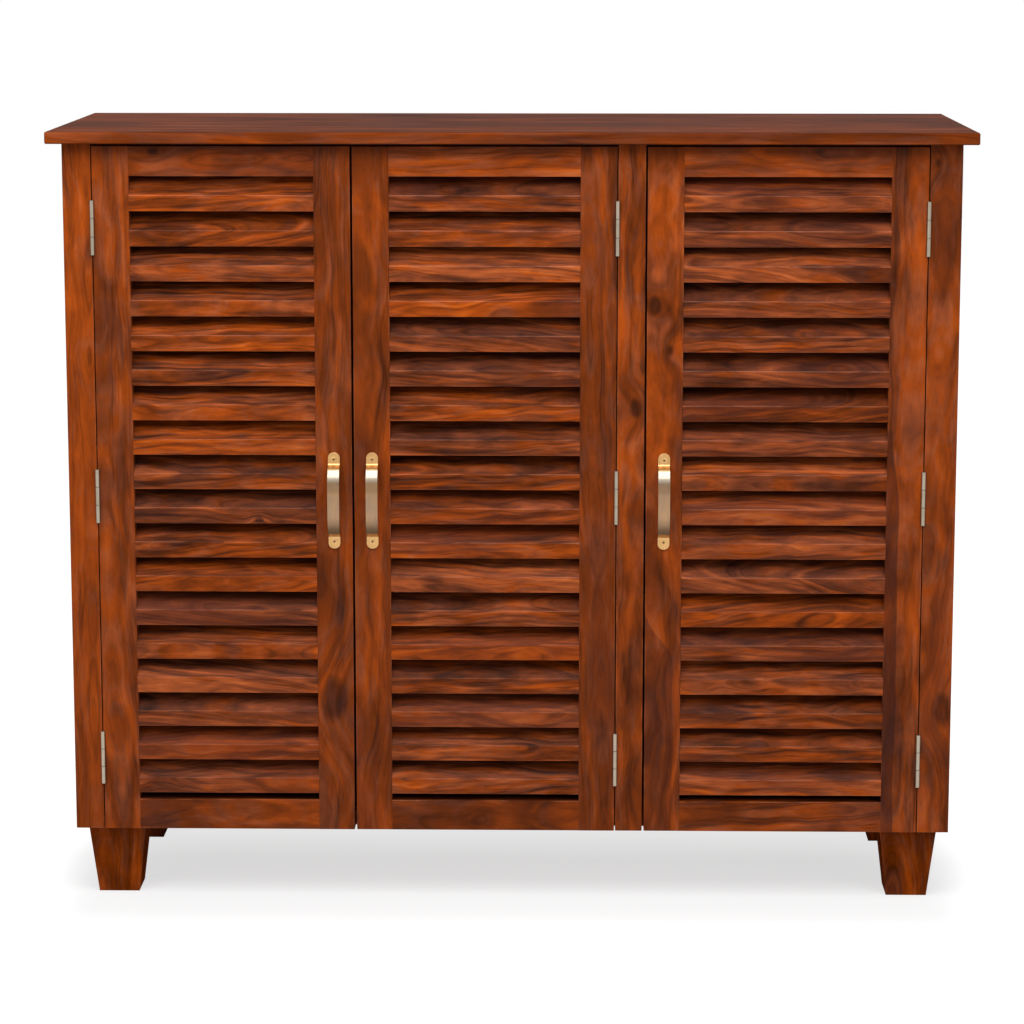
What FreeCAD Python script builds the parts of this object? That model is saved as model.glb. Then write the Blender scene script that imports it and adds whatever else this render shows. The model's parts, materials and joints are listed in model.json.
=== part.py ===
import FreeCAD
import Part
import os
import math
import Sketcher

# A louvred door cabinet in solid wood: a carcass on four tapered feet, with three
# inset doors. Millimetres. +Z is up, +X is to the right of someone who faces the
# doors, and the doors face -Y. The origin is on the floor, under the middle of the top.

DRIVING_SIZES = {
    # the whole cabinet
    "overall_width": 1067,
    "overall_depth": 381,
    "overall_height": 914,
    "top_thickness": 14,
    "top_edge_radius": 2,
    "side_overhang": 16.5,
    "front_overhang": 20,
    # carcass boards
    "side_thickness": 18,
    "left_stile_width": 33,
    "centre_stile_width": 31.5,
    "right_stile_width": 37,
    "left_bay_width": 607,
    "bottom_thickness": 18,
    "partition_thickness": 18,
    "back_thickness": 6,
    "back_recess": 6,
    "top_rail_height": 40,
    "top_rail_thickness": 20,
    "shelf_thickness": 15,
    "shelf_setback": 6,
    "lower_shelf_height": 262,
    "upper_shelf_height": 255,
    "cleat_thickness": 15,
    "cleat_height": 20,
    "cleat_setback": 16,
    # feet
    "leg_height": 87,
    "foot_top_width": 68,
    "foot_taper": 10,
    "foot_side_inset": 11,
    "foot_front_inset": 22,
    "foot_back_inset": 45,
    "foot_bolt_radius": 4,
    "foot_bolt_depth": 45,
    "foot_bolt_rise": 14,
    # doors
    "door_thickness": 20,
    "stop_gap": 1,
    "left_door_width": 297,
    "hinge_gap": 1.3,
    "meeting_gap": 2.6,
    "closing_gap": 2.3,
    "door_top_gap": 3.5,
    "door_stile_width": 42,
    "door_top_rail": 34.5,
    "door_bottom_rail": 36,
    "tenon_length": 20,
    "tenon_thickness": 8,
    "tenon_shoulder": 5,
    # louvre slats
    "slat_count": 18,
    "slat_face": 18.7,
    "slat_tilt": 45.5,
    "slat_proud": 0.8,
    "slat_housing": 3,
    "lowest_slat_gap": 8,
    # butt hinges
    "hinge_count": 3,
    "hinge_length": 63.5,
    "hinge_top_inset": 94,
    "hinge_bottom_inset": 87,
    "leaf_depth": 16,
    "leaf_thickness": 1.2,
    "leaf_clearance": 0.15,
    "knuckle_radius": 2.5,
    "knuckle_proud": 1,
    "knuckle_gap": 0.2,
    "knuckle_relief": 0.4,
    "pin_radius": 1.4,
    "pin_clearance": 0.05,
    "leaf_screw_radius": 1.5,
    "leaf_screw_head": 3,
    "leaf_screw_length": 15,
    "leaf_screw_spacing": 22,
    # handles
    "handle_height": 484,
    "handle_length": 114,
    "handle_bar_length": 76,
    "handle_tab_length": 13,
    "handle_width": 14,
    "handle_thickness": 2.2,
    "handle_projection": 18,
    "handle_bend_radius": 2,
    "handle_end_radius": 5.5,
    "handle_screw_spacing": 97,
    "handle_screw_radius": 1.6,
    "handle_screw_head": 3.2,
    "handle_screw_crown": 0.9,
    "handle_screw_length": 16,
    # magnetic catches
    "magnet_radius": 5,
    "magnet_length": 12,
    "magnet_proud": 0.4,
    "strike_radius": 7,
    "strike_thickness": 1.2,
    # screws that hold the top
    "top_screw_radius": 2.2,
    "top_screw_head": 4.2,
    "top_screw_head_height": 3,
    "top_screw_bite": 8,
    "top_screw_end_inset": 120,
    "screw_clearance": 0.05,
}

AXIS_PLANES = {"X": "YZ_Plane", "Y": "XZ_Plane", "Z": "XY_Plane"}
# two heights that differ by less than this are the same height
SAME_HEIGHT = 0.5

doc = FreeCAD.newDocument("louvred_door_cabinet")
sheet = doc.addObject("Spreadsheet::Sheet", "Sizes")
nodes = []


class Size:
    """A length with its value and the expression over the sheet that gives it."""

    def __init__(self, text, value):
        self.text = text
        self.value = value

    def __add__(self, other):
        other = as_size(other)
        return Size(f"({self.text} + {other.text})", self.value + other.value)

    def __sub__(self, other):
        other = as_size(other)
        return Size(f"({self.text} - {other.text})", self.value - other.value)

    def __mul__(self, other):
        other = as_size(other)
        return Size(f"({self.text} * {other.text})", self.value * other.value)

    def __truediv__(self, other):
        other = as_size(other)
        return Size(f"({self.text} / {other.text})", self.value / other.value)

    def __neg__(self):
        return self * -1


def as_size(number):
    """A plain number as a Size; a Size stays what it is."""
    if isinstance(number, Size):
        return number
    return Size(f"({number!r})", number)


def fill_sheet():
    """Writes the driving sizes to the sheet, one row each with its alias."""
    for row, (name, number) in enumerate(DRIVING_SIZES.items(), start=1):
        sheet.set(f"A{row}", name)
        sheet.set(f"B{row}", str(number))
        sheet.setAlias(f"B{row}", name)
    doc.recompute()


def size(name):
    """A driving size, read back from the sheet."""
    return Size(f"Sizes.{name}", float(sheet.get(name)))


def rising(run, tilt):
    """How far a line climbs over a run, when it is tilted by so many degrees."""
    value = run.value * math.tan(math.radians(tilt.value))
    return Size(f"({run.text} * tan({tilt.text} * 1 deg))", value)


def ordered(first, second):
    """Two sizes, the lower one first."""
    if first.value <= second.value:
        return first, second
    return second, first


# ---------------------------------------------------------------- building blocks


def board(label, x, y, z, is_node=True):
    """A plain board between two places on each axis."""
    box = doc.addObject("Part::Box", label)
    box.Label = label
    ranges = {"Length": ordered(*x), "Width": ordered(*y), "Height": ordered(*z)}
    for side, (low, high) in ranges.items():
        box.setExpression(side, (high - low).text)
    for axis, (low, high) in zip("xyz", ranges.values()):
        box.setExpression(f"Placement.Base.{axis}", low.text)
    if is_node:
        nodes.append(box)
    return box


def new_body(label, is_node=True):
    """A body that may hold several solids, such as a row of like pieces."""
    body = doc.addObject("PartDesign::Body", label)
    body.Label = label
    body.AllowCompound = True
    if is_node:
        nodes.append(body)
    return body


def origin_feature(body, role):
    """One of a body's own origin planes or axes."""
    for feature in body.Origin.OriginFeatures:
        if feature.Role == role:
            return feature
    raise RuntimeError(f"{body.Label} has no {role}")


def sketch_on(body, axis, place):
    """A sketch square to an axis, at a place along it. Across X it is drawn in Y and Z,
    across Y in X and Z, and across Z in X and Y."""
    sketch = body.newObject("Sketcher::SketchObject", f"{body.Label}_sketch")
    sketch.AttachmentSupport = [(origin_feature(body, AXIS_PLANES[axis]), "")]
    sketch.MapMode = "FlatFace"
    along_normal = -place if axis == "Y" else place
    sketch.setExpression("AttachmentOffset.Base.z", along_normal.text)
    return sketch


def tie_point(sketch, geometry, point, place):
    """Holds one point of a sketch at a place given by two sizes."""
    for kind, where in zip(("DistanceX", "DistanceY"), place):
        index = sketch.addConstraint(
            Sketcher.Constraint(kind, -1, 1, geometry, point, where.value)
        )
        name = f"place_{index}"
        sketch.renameConstraint(index, name)
        sketch.setExpression(f"Constraints.{name}", where.text)


def draw_outline(sketch, corners):
    """A closed outline of straight lines through the corners."""
    first = sketch.GeometryCount
    count = len(corners)
    for index, (across, up) in enumerate(corners):
        next_across, next_up = corners[(index + 1) % count]
        start = FreeCAD.Vector(across.value, up.value, 0)
        end = FreeCAD.Vector(next_across.value, next_up.value, 0)
        sketch.addGeometry(Part.LineSegment(start, end), False)
    for index in range(count):
        following = first + (index + 1) % count
        sketch.addConstraint(
            Sketcher.Constraint("Coincident", first + index, 2, following, 1)
        )
    for index, place in enumerate(corners):
        tie_point(sketch, first + index, 1, place)


def draw_rectangle(sketch, across, up):
    """A rectangle between two places each way."""
    left, right = across
    low, high = up
    draw_outline(sketch, [(left, low), (right, low), (right, high), (left, high)])


def draw_circle(sketch, centre, radius):
    """A circle with its centre at a place."""
    middle = FreeCAD.Vector(centre[0].value, centre[1].value, 0)
    normal = FreeCAD.Vector(0, 0, 1)
    index = sketch.addGeometry(Part.Circle(middle, normal, radius.value), False)
    tie_point(sketch, index, 3, centre)
    constraint = sketch.addConstraint(
        Sketcher.Constraint("Radius", index, radius.value)
    )
    name = f"radius_{constraint}"
    sketch.renameConstraint(constraint, name)
    sketch.setExpression(f"Constraints.{name}", radius.text)


def pad(body, sketch, length, towards=1):
    """Pads a sketch along its axis: 1 is up the axis and -1 is down it."""
    feature = body.newObject("PartDesign::Pad", f"{body.Label}_pad")
    feature.Profile = sketch
    feature.setExpression("Length", length.text)
    feature.Reversed = points_down(sketch) != (towards < 0)
    return feature


def pocket(body, sketch, depth, towards):
    """Cuts a sketch along its axis, and makes sure that something was cut."""
    doc.recompute()
    before = body.Shape.Volume
    feature = body.newObject("PartDesign::Pocket", f"{body.Label}_pocket")
    feature.Profile = sketch
    feature.setExpression("Length", depth.text)
    feature.Reversed = points_down(sketch) == (towards < 0)
    doc.recompute()
    if body.Shape.Volume >= before:
        raise RuntimeError(f"a pocket in {body.Label} cuts nothing")
    return feature


def points_down(sketch):
    """Whether a sketch's normal points down its axis, as it does across Y."""
    return sketch.AttachmentSupport[0][0].Role == AXIS_PLANES["Y"]


def repeat_upwards(body, features, step, count):
    """Repeats features up the Z axis at an even step."""
    pattern = body.newObject("PartDesign::LinearPattern", f"{body.Label}_pattern")
    pattern.Originals = features
    pattern.Direction = (origin_feature(body, "Z_Axis"), [""])
    pattern.setExpression("Length", (step * (count - 1)).text)
    pattern.setExpression("Occurrences", count.text)
    body.Tip = pattern
    return pattern


def turned_about_x(body, place, profile):
    """A piece or hole that is round about a line along X. The profile gives places
    along X with the radius there."""
    across, up = place
    sketch = sketch_on(body, "Z", up)
    x_first = profile[0][0]
    x_last = profile[-1][0]
    outline = [(x_first, across)]
    outline += [(x, across + radius) for x, radius in profile]
    outline += [(x_last, across)]
    draw_outline(sketch, outline)
    return sketch


fill_sheet()

# ------------------------------------------------------------------ derived places

half_width = size("overall_width") / 2
half_depth = size("overall_depth") / 2
top_under = size("overall_height") - size("top_thickness")
carcass_bottom = size("leg_height")

left_side = -half_width + size("side_overhang")
right_side = half_width - size("side_overhang")
inner_left = left_side + size("side_thickness")
inner_right = right_side - size("side_thickness")
front = -half_depth + size("front_overhang")
back = half_depth
door_back = front + size("door_thickness")
frame_back = door_back + size("stop_gap")
back_panel_back = back - size("back_recess")
back_panel_front = back_panel_back - size("back_thickness")

left_bay_start = left_side + size("left_stile_width")
left_bay_end = left_bay_start + size("left_bay_width")
right_bay_start = left_bay_end + size("centre_stile_width")
right_bay_end = right_side - size("right_stile_width")
partition_middle = left_bay_end + size("centre_stile_width") / 2
partition_left = partition_middle - size("partition_thickness") / 2
partition_right = partition_middle + size("partition_thickness") / 2

bottom_top = carcass_bottom + size("bottom_thickness")
rail_under = top_under - size("top_rail_height")
front_rail_back = frame_back + size("top_rail_thickness")
back_rail_front = back_panel_front - size("top_rail_thickness")
lower_shelf_top = bottom_top + size("lower_shelf_height")
upper_shelf_top = lower_shelf_top + size("upper_shelf_height")

door_bottom = carcass_bottom
door_top = top_under - size("door_top_gap")
opening_bottom = door_bottom + size("door_bottom_rail")
opening_top = door_top - size("door_top_rail")
slat_step = (opening_top - opening_bottom - size("lowest_slat_gap")) / size("slat_count")
slat_front = front - size("slat_proud")
slat_rise = rising(door_back - slat_front, size("slat_tilt"))
lowest_slat = opening_bottom + size("lowest_slat_gap")

hinge_axis_y = front - size("knuckle_proud")
lowest_hinge = door_bottom + size("hinge_bottom_inset") - size("hinge_length") / 2
highest_hinge = door_top - size("hinge_top_inset") - size("hinge_length") / 2
hinge_step = (highest_hinge - lowest_hinge) / (size("hinge_count") - 1)
leaf_back = front + size("leaf_depth")
screw_hole = size("leaf_screw_radius") + size("screw_clearance")
catch_height = door_top - size("door_top_rail") / 2

middle_door_width = (
    size("left_bay_width")
    - size("left_door_width")
    - size("hinge_gap") * 2
    - size("meeting_gap")
)
right_door_width = (
    right_bay_end - right_bay_start - size("hinge_gap") - size("closing_gap")
)


class Door:
    """Where one door stands. Reach is 1 if it runs to the right of its hinge and -1 if
    it runs to the left, and offsets are counted from the hinge axis towards its free
    edge."""

    def __init__(self, name, mounting_face, reach, width):
        self.name = name
        self.reach = reach
        self.width = width
        self.half_gap = size("hinge_gap") / 2
        self.mounting_face = mounting_face
        self.axis_x = mounting_face + self.half_gap * reach

    def x(self, offset):
        return self.axis_x + offset * self.reach

    def x_range(self, near, far):
        return ordered(self.x(near), self.x(far))

    @property
    def hinge_edge(self):
        return self.half_gap

    @property
    def hinge_stile_end(self):
        return self.half_gap + size("door_stile_width")

    @property
    def lock_stile_start(self):
        return self.free_edge - size("door_stile_width")

    @property
    def lock_stile_middle(self):
        return self.free_edge - size("door_stile_width") / 2

    @property
    def free_edge(self):
        return self.half_gap + self.width


doors = [
    Door("left_door", left_bay_start, 1, size("left_door_width")),
    Door("middle_door", left_bay_end, -1, middle_door_width),
    Door("right_door", right_bay_end, -1, right_door_width),
]


# ------------------------------------------------------------------------- carcass


def top_screw_places():
    """The six places where screws go up through the rails into the top."""
    rows = [
        (frame_back + front_rail_back) / 2,
        (back_rail_front + back_panel_front) / 2,
    ]
    ends = size("top_screw_end_inset")
    columns = [inner_left + ends, (inner_left + inner_right) / 2, inner_right - ends]
    return [(column, row) for row in rows for column in columns]


def make_top_panel():
    """The top board, with every edge rounded and pilot holes in its underside."""
    body = new_body("top_panel")
    sketch = sketch_on(body, "Z", top_under)
    draw_rectangle(sketch, (-half_width, half_width), (-half_depth, half_depth))
    slab = pad(body, sketch, size("top_thickness"))
    doc.recompute()
    rounding = body.newObject("PartDesign::Fillet", "top_panel_rounding")
    edges = [f"Edge{index + 1}" for index in range(len(slab.Shape.Edges))]
    rounding.Base = (slab, edges)
    rounding.setExpression("Radius", size("top_edge_radius").text)
    holes = sketch_on(body, "Z", top_under)
    for place in top_screw_places():
        draw_circle(holes, place, size("top_screw_radius") + size("screw_clearance"))
    pocket(body, holes, size("top_screw_bite"), 1)


def make_top_rail(label, y_range):
    """A rail under the top, drilled for the screws that hold the top down."""
    body = new_body(label)
    sketch = sketch_on(body, "Z", rail_under)
    draw_rectangle(sketch, (inner_left, inner_right), y_range)
    pad(body, sketch, size("top_rail_height"))
    holes = sketch_on(body, "Z", rail_under)
    sinks = sketch_on(body, "Z", rail_under)
    for place in top_screw_places():
        if y_range[0].value < place[1].value < y_range[1].value:
            draw_circle(holes, place, size("top_screw_radius") + size("screw_clearance"))
            draw_circle(sinks, place, size("top_screw_head") + size("screw_clearance"))
    pocket(body, holes, size("top_rail_height"), 1)
    pocket(body, sinks, size("top_screw_head_height"), 1)
    return body


def make_front_rail():
    """The rail behind the doors' top edges. It stops the doors, and holds the magnets."""
    body = make_top_rail("top_front_rail", (frame_back, front_rail_back))
    sketch = sketch_on(body, "Y", frame_back)
    for door in doors:
        place = (door.x(door.lock_stile_middle), catch_height)
        draw_circle(sketch, place, size("magnet_radius") + size("screw_clearance"))
    pocket(body, sketch, size("magnet_length") - size("magnet_proud"), 1)


def make_top_screws():
    """Six countersunk screws, heads down, up through the rails into the top."""
    body = new_body("top_screws")
    heads = sketch_on(body, "Z", rail_under)
    shanks = sketch_on(body, "Z", rail_under)
    for place in top_screw_places():
        draw_circle(heads, place, size("top_screw_head"))
        draw_circle(shanks, place, size("top_screw_radius"))
    pad(body, heads, size("top_screw_head_height"))
    pad(body, shanks, size("top_rail_height") + size("top_screw_bite"))


def make_magnets():
    """Three round magnets let into the front rail, one behind each free stile."""
    body = new_body("door_magnets")
    sketch = sketch_on(body, "Y", frame_back - size("magnet_proud"))
    for door in doors:
        place = (door.x(door.lock_stile_middle), catch_height)
        draw_circle(sketch, place, size("magnet_radius"))
    pad(body, sketch, size("magnet_length"))


def foot_bolt_places():
    """The middles of the four feet: left front, right front, left back, right back."""
    half_foot = size("foot_top_width") / 2
    to_side = size("foot_side_inset") + half_foot
    columns = [left_side + to_side, right_side - to_side]
    rows = [
        front + size("foot_front_inset") + half_foot,
        back - size("foot_back_inset") - half_foot,
    ]
    return [(column, row) for row in rows for column in columns]


def make_bottom_board():
    """The board that the feet are bolted to."""
    body = new_body("bottom_board")
    sketch = sketch_on(body, "Z", carcass_bottom)
    draw_rectangle(sketch, (inner_left, inner_right), (frame_back, back_panel_front))
    pad(body, sketch, size("bottom_thickness"))
    holes = sketch_on(body, "Z", carcass_bottom)
    for place in foot_bolt_places():
        draw_circle(holes, place, size("foot_bolt_radius") + size("screw_clearance"))
    pocket(body, holes, size("foot_bolt_rise"), 1)


def make_foot(label, place):
    """A square foot that widens evenly to its top, drilled for its bolt."""
    body = new_body(label)
    half_base = size("foot_top_width") / 2 - size("foot_taper")
    across, along = place
    sketch = sketch_on(body, "Z", as_size(0.0))
    draw_rectangle(
        sketch,
        (across - half_base, across + half_base),
        (along - half_base, along + half_base),
    )
    block = pad(body, sketch, size("leg_height"))
    taper = f"atan({size('foot_taper').text} / {size('leg_height').text})"
    block.setExpression("TaperAngle", taper)
    hole = sketch_on(body, "Z", carcass_bottom)
    draw_circle(hole, place, size("foot_bolt_radius") + size("screw_clearance"))
    pocket(body, hole, size("foot_bolt_depth"), -1)


def make_feet():
    """Four feet with the bolts that hold them."""
    labels = ["foot_front_left", "foot_front_right", "foot_back_left", "foot_back_right"]
    for label, place in zip(labels, foot_bolt_places()):
        make_foot(label, place)
    bolts = new_body("foot_bolts")
    sketch = sketch_on(bolts, "Z", carcass_bottom - size("foot_bolt_depth"))
    for place in foot_bolt_places():
        draw_circle(sketch, place, size("foot_bolt_radius"))
    pad(bolts, sketch, size("foot_bolt_depth") + size("foot_bolt_rise"))


def make_partition():
    """The upright board between the bays, notched round both top rails."""
    body = new_body("partition")
    sketch = sketch_on(body, "X", partition_left)
    draw_outline(
        sketch,
        [
            (frame_back, bottom_top),
            (back_panel_front, bottom_top),
            (back_panel_front, rail_under),
            (back_rail_front, rail_under),
            (back_rail_front, top_under),
            (front_rail_back, top_under),
            (front_rail_back, rail_under),
            (frame_back, rail_under),
        ],
    )
    pad(body, sketch, size("partition_thickness"))


def make_shelves():
    """Two shelves in each bay, each on a pair of cleats."""
    shelf_y = (frame_back + size("shelf_setback"), back_panel_front)
    cleat_y = (frame_back + size("cleat_setback"), back_panel_front)
    bays = {
        "left": (inner_left, partition_left),
        "right": (partition_right, inner_right),
    }
    levels = {"lower": lower_shelf_top, "upper": upper_shelf_top}
    for bay, (start, end) in bays.items():
        cleats = new_body(f"shelf_cleats_{bay}")
        sketch = sketch_on(cleats, "Y", cleat_y[0])
        for level, shelf_top in levels.items():
            shelf_under = shelf_top - size("shelf_thickness")
            board(f"shelf_{bay}_{level}", (start, end), shelf_y, (shelf_under, shelf_top))
            cleat_z = (shelf_under - size("cleat_height"), shelf_under)
            draw_rectangle(sketch, (start, start + size("cleat_thickness")), cleat_z)
            draw_rectangle(sketch, (end - size("cleat_thickness"), end), cleat_z)
        pad(cleats, sketch, cleat_y[1] - cleat_y[0])


def make_side_panels():
    """The two sides, from the face stiles to the back."""
    upright = (carcass_bottom, top_under)
    board("side_panel_left", (left_side, inner_left), (frame_back, back), upright)
    board("side_panel_right", (inner_right, right_side), (frame_back, back), upright)


def make_carcass():
    """Everything that stands still apart from the hinges."""
    make_top_panel()
    make_side_panels()
    make_bottom_board()
    panel_y = (back_panel_front, back_panel_back)
    board("back_panel", (inner_left, inner_right), panel_y, (carcass_bottom, top_under))
    make_front_rail()
    make_top_rail("top_back_rail", (back_rail_front, back_panel_front))
    make_partition()
    make_shelves()
    make_feet()
    make_top_screws()
    make_magnets()


# ------------------------------------------------------------------- hinge seats


def leaf_screw_heights():
    """The heights of one hinge's screws, for the lowest hinge."""
    middle = lowest_hinge + size("hinge_length") / 2
    spacing = size("leaf_screw_spacing")
    return [middle - spacing, middle, middle + spacing]


def cut_hinge_seats(body, door, side):
    """Cuts the knuckle relief, the leaf mortise and the pilot holes of each hinge.
    Side is 1 on the door and -1 on the stile that carries it."""
    relief = sketch_on(body, "Z", lowest_hinge)
    radius = size("knuckle_radius") + size("knuckle_relief")
    draw_circle(relief, (door.axis_x, hinge_axis_y), radius)
    relief_cut = pocket(body, relief, size("hinge_length"), 1)
    leaf_far = (size("leaf_clearance") + size("leaf_thickness")) * side
    mortise = sketch_on(body, "Z", lowest_hinge)
    x_range = door.x_range(as_size(0.0), leaf_far)
    draw_rectangle(mortise, x_range, (hinge_axis_y, leaf_back))
    mortise_cut = pocket(body, mortise, size("hinge_length"), 1)
    pilot = sketch_on(body, "X", door.x(leaf_far))
    for height in leaf_screw_heights():
        draw_circle(pilot, ((front + leaf_back) / 2, height), screw_hole)
    depth = size("leaf_screw_length") - size("leaf_thickness")
    pilot_cut = pocket(body, pilot, depth, side * door.reach)
    cuts = [relief_cut, mortise_cut, pilot_cut]
    repeat_upwards(body, cuts, hinge_step, size("hinge_count"))


def make_face_stiles():
    """The three upright stiles of the face frame, each cut for the hinges it carries."""
    upright = carcass_bottom
    height = top_under - carcass_bottom
    stiles = {
        "face_stile_left": ((left_side, left_bay_start), doors[0]),
        "face_stile_centre": ((left_bay_end, right_bay_start), doors[1]),
        "face_stile_right": ((right_bay_end, right_side), doors[2]),
    }
    for label, (x_range, door) in stiles.items():
        body = new_body(label)
        sketch = sketch_on(body, "Z", upright)
        draw_rectangle(sketch, x_range, (front, frame_back))
        pad(body, sketch, height)
        cut_hinge_seats(body, door, -1)


# -------------------------------------------------------------------------- hinges


def make_leaves(label, door, side, own_knuckles, other_knuckles):
    """One hinge leaf with its knuckles, repeated for each hinge of a door. Side is 1 for
    the leaf on the door and -1 for the leaf on the frame."""
    body = new_body(label)
    centre = (door.axis_x, hinge_axis_y)
    third = size("hinge_length") / 3
    half_gap = size("knuckle_gap") / 2
    near = size("leaf_clearance") * side
    far = (size("leaf_clearance") + size("leaf_thickness")) * side
    plate = sketch_on(body, "Z", lowest_hinge)
    draw_rectangle(plate, door.x_range(near, far), (hinge_axis_y, leaf_back))
    features = [pad(body, plate, size("hinge_length"))]
    for index in other_knuckles:
        relief = sketch_on(body, "Z", lowest_hinge + third * index - half_gap)
        draw_circle(relief, centre, size("knuckle_radius") + size("knuckle_relief"))
        features.append(pocket(body, relief, third + size("knuckle_gap"), 1))
    for index in own_knuckles:
        low = half_gap if index > 0 else as_size(0.0)
        high = half_gap if index < 2 else as_size(0.0)
        knuckle = sketch_on(body, "Z", lowest_hinge + third * index + low)
        draw_circle(knuckle, centre, size("knuckle_radius"))
        features.append(pad(body, knuckle, third - low - high))
    bore = sketch_on(body, "Z", lowest_hinge)
    draw_circle(bore, centre, size("pin_radius") + size("pin_clearance"))
    features.append(pocket(body, bore, size("hinge_length"), 1))
    for height in leaf_screw_heights():
        features.append(cut_screw_seat(body, door, near, far, height))
    repeat_upwards(body, features, hinge_step, size("hinge_count"))


def leaf_screw_profile(door, near, far, tip, clearance):
    """The outline of a countersunk screw from its head at the leaf's near face."""
    return [
        (door.x(near), size("leaf_screw_head") + clearance),
        (door.x(far), size("leaf_screw_radius") + clearance),
        (door.x(tip), size("leaf_screw_radius") + clearance),
    ]


def cut_screw_seat(body, door, near, far, height):
    """A countersunk hole through a leaf."""
    profile = leaf_screw_profile(door, near, far, far, size("screw_clearance"))
    sketch = turned_about_x(body, ((front + leaf_back) / 2, height), profile[:2])
    groove = body.newObject("PartDesign::Groove", f"{body.Label}_groove")
    groove.Profile = sketch
    return turn_fully(groove, sketch)


def turn_fully(feature, sketch):
    """Turns a revolved feature all the way round its sketch's last, lengthwise line."""
    last_line = sketch.GeometryCount
    feature.ReferenceAxis = (sketch, [f"Edge{last_line}"])
    feature.Angle = 360
    doc.recompute()
    return feature


def make_leaf_screws(label, door, side, is_node):
    """The countersunk screws of one door's leaves on one side."""
    body = new_body(label, is_node)
    near = size("leaf_clearance") * side
    far = (size("leaf_clearance") + size("leaf_thickness")) * side
    tip = (size("leaf_clearance") + size("leaf_screw_length")) * side
    features = []
    for height in leaf_screw_heights():
        profile = leaf_screw_profile(door, near, far, tip, as_size(0.0))
        sketch = turned_about_x(body, ((front + leaf_back) / 2, height), profile)
        turned = body.newObject("PartDesign::Revolution", f"{label}_turned")
        turned.Profile = sketch
        features.append(turn_fully(turned, sketch))
    repeat_upwards(body, features, hinge_step, size("hinge_count"))
    return body


def make_pins(label, door):
    """The pins of one door's hinges, flush with the ends of their knuckles."""
    body = new_body(label, is_node=False)
    sketch = sketch_on(body, "Z", lowest_hinge)
    draw_circle(sketch, (door.axis_x, hinge_axis_y), size("pin_radius"))
    pins = pad(body, sketch, size("hinge_length"))
    repeat_upwards(body, [pins], hinge_step, size("hinge_count"))
    return body


def gather(label, members):
    """Like pieces from several doors as one sub-part."""
    group = doc.addObject("Part::Compound", label)
    group.Label = label
    group.Links = members
    nodes.append(group)


def make_hinges():
    """All leaves, pins and screws."""
    pins = []
    frame_screws = []
    for door in doors:
        make_leaves(f"{door.name}_frame_leaves", door, -1, [0, 2], [1])
        make_leaves(f"{door.name}_hinge_leaves", door, 1, [1], [0, 2])
        pins.append(make_pins(f"{door.name}_pins", door))
        screws = make_leaf_screws(f"{door.name}_frame_screws", door, -1, False)
        frame_screws.append(screws)
        make_leaf_screws(f"{door.name}_hinge_screws", door, 1, True)
    gather("hinge_pins", pins)
    gather("frame_leaf_screws", frame_screws)


# --------------------------------------------------------------------------- doors


def slat_section():
    """The lowest slat's section in Y and Z: upright edges and sloping faces."""
    face = size("slat_face")
    return [
        (slat_front, lowest_slat),
        (door_back, lowest_slat + slat_rise),
        (door_back, lowest_slat + slat_rise + face),
        (slat_front, lowest_slat + face),
    ]


def tenon_y():
    """The front and back of the tenons, in the middle of the door's thickness."""
    middle = (front + door_back) / 2
    half = size("tenon_thickness") / 2
    return (middle - half, middle + half)


def rail_ranges():
    """The heights of a door's bottom and top rails."""
    return {
        "bottom_rail": (door_bottom, opening_bottom),
        "top_rail": (opening_top, door_top),
    }


def make_door_stile(label, door, near, far, inner):
    """A door stile with mortises for the rails and housings for the slats. Inner is the
    offset of the edge that faces the slats."""
    body = new_body(label)
    sketch = sketch_on(body, "Z", door_bottom)
    draw_rectangle(sketch, door.x_range(near, far), (front, door_back))
    pad(body, sketch, door_top - door_bottom)
    inwards = door.reach if inner.value > near.value else -door.reach
    mortises = sketch_on(body, "X", door.x(inner))
    shoulder = size("tenon_shoulder")
    for low, high in rail_ranges().values():
        draw_rectangle(mortises, tenon_y(), (low + shoulder, high - shoulder))
    pocket(body, mortises, size("tenon_length"), -inwards)
    housing = sketch_on(body, "X", door.x(inner))
    draw_outline(housing, slat_section())
    cut = pocket(body, housing, size("slat_housing"), -inwards)
    repeat_upwards(body, [cut], slat_step, size("slat_count"))
    return body


def make_door_rail(label, door, z_range):
    """A door rail with a tenon at each end."""
    body = new_body(label)
    low, high = z_range
    near, far = door.x_range(door.hinge_stile_end, door.lock_stile_start)
    sketch = sketch_on(body, "X", near)
    draw_rectangle(sketch, (front, door_back), z_range)
    pad(body, sketch, far - near)
    tenon = sketch_on(body, "X", near - size("tenon_length"))
    shoulder = size("tenon_shoulder")
    draw_rectangle(tenon, tenon_y(), (low + shoulder, high - shoulder))
    pad(body, tenon, far - near + size("tenon_length") * 2)


def make_slats(label, door):
    """The fixed louvre slats, let into both stiles."""
    body = new_body(label)
    housing = size("slat_housing")
    start, end = door.x_range(
        door.hinge_stile_end - housing, door.lock_stile_start + housing
    )
    sketch = sketch_on(body, "X", start)
    draw_outline(sketch, slat_section())
    slat = pad(body, sketch, end - start)
    repeat_upwards(body, [slat], slat_step, size("slat_count"))


def handle_screw_heights():
    """The heights of a handle's two screws."""
    half = size("handle_screw_spacing") / 2
    return [size("handle_height") - half, size("handle_height") + half]


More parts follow.
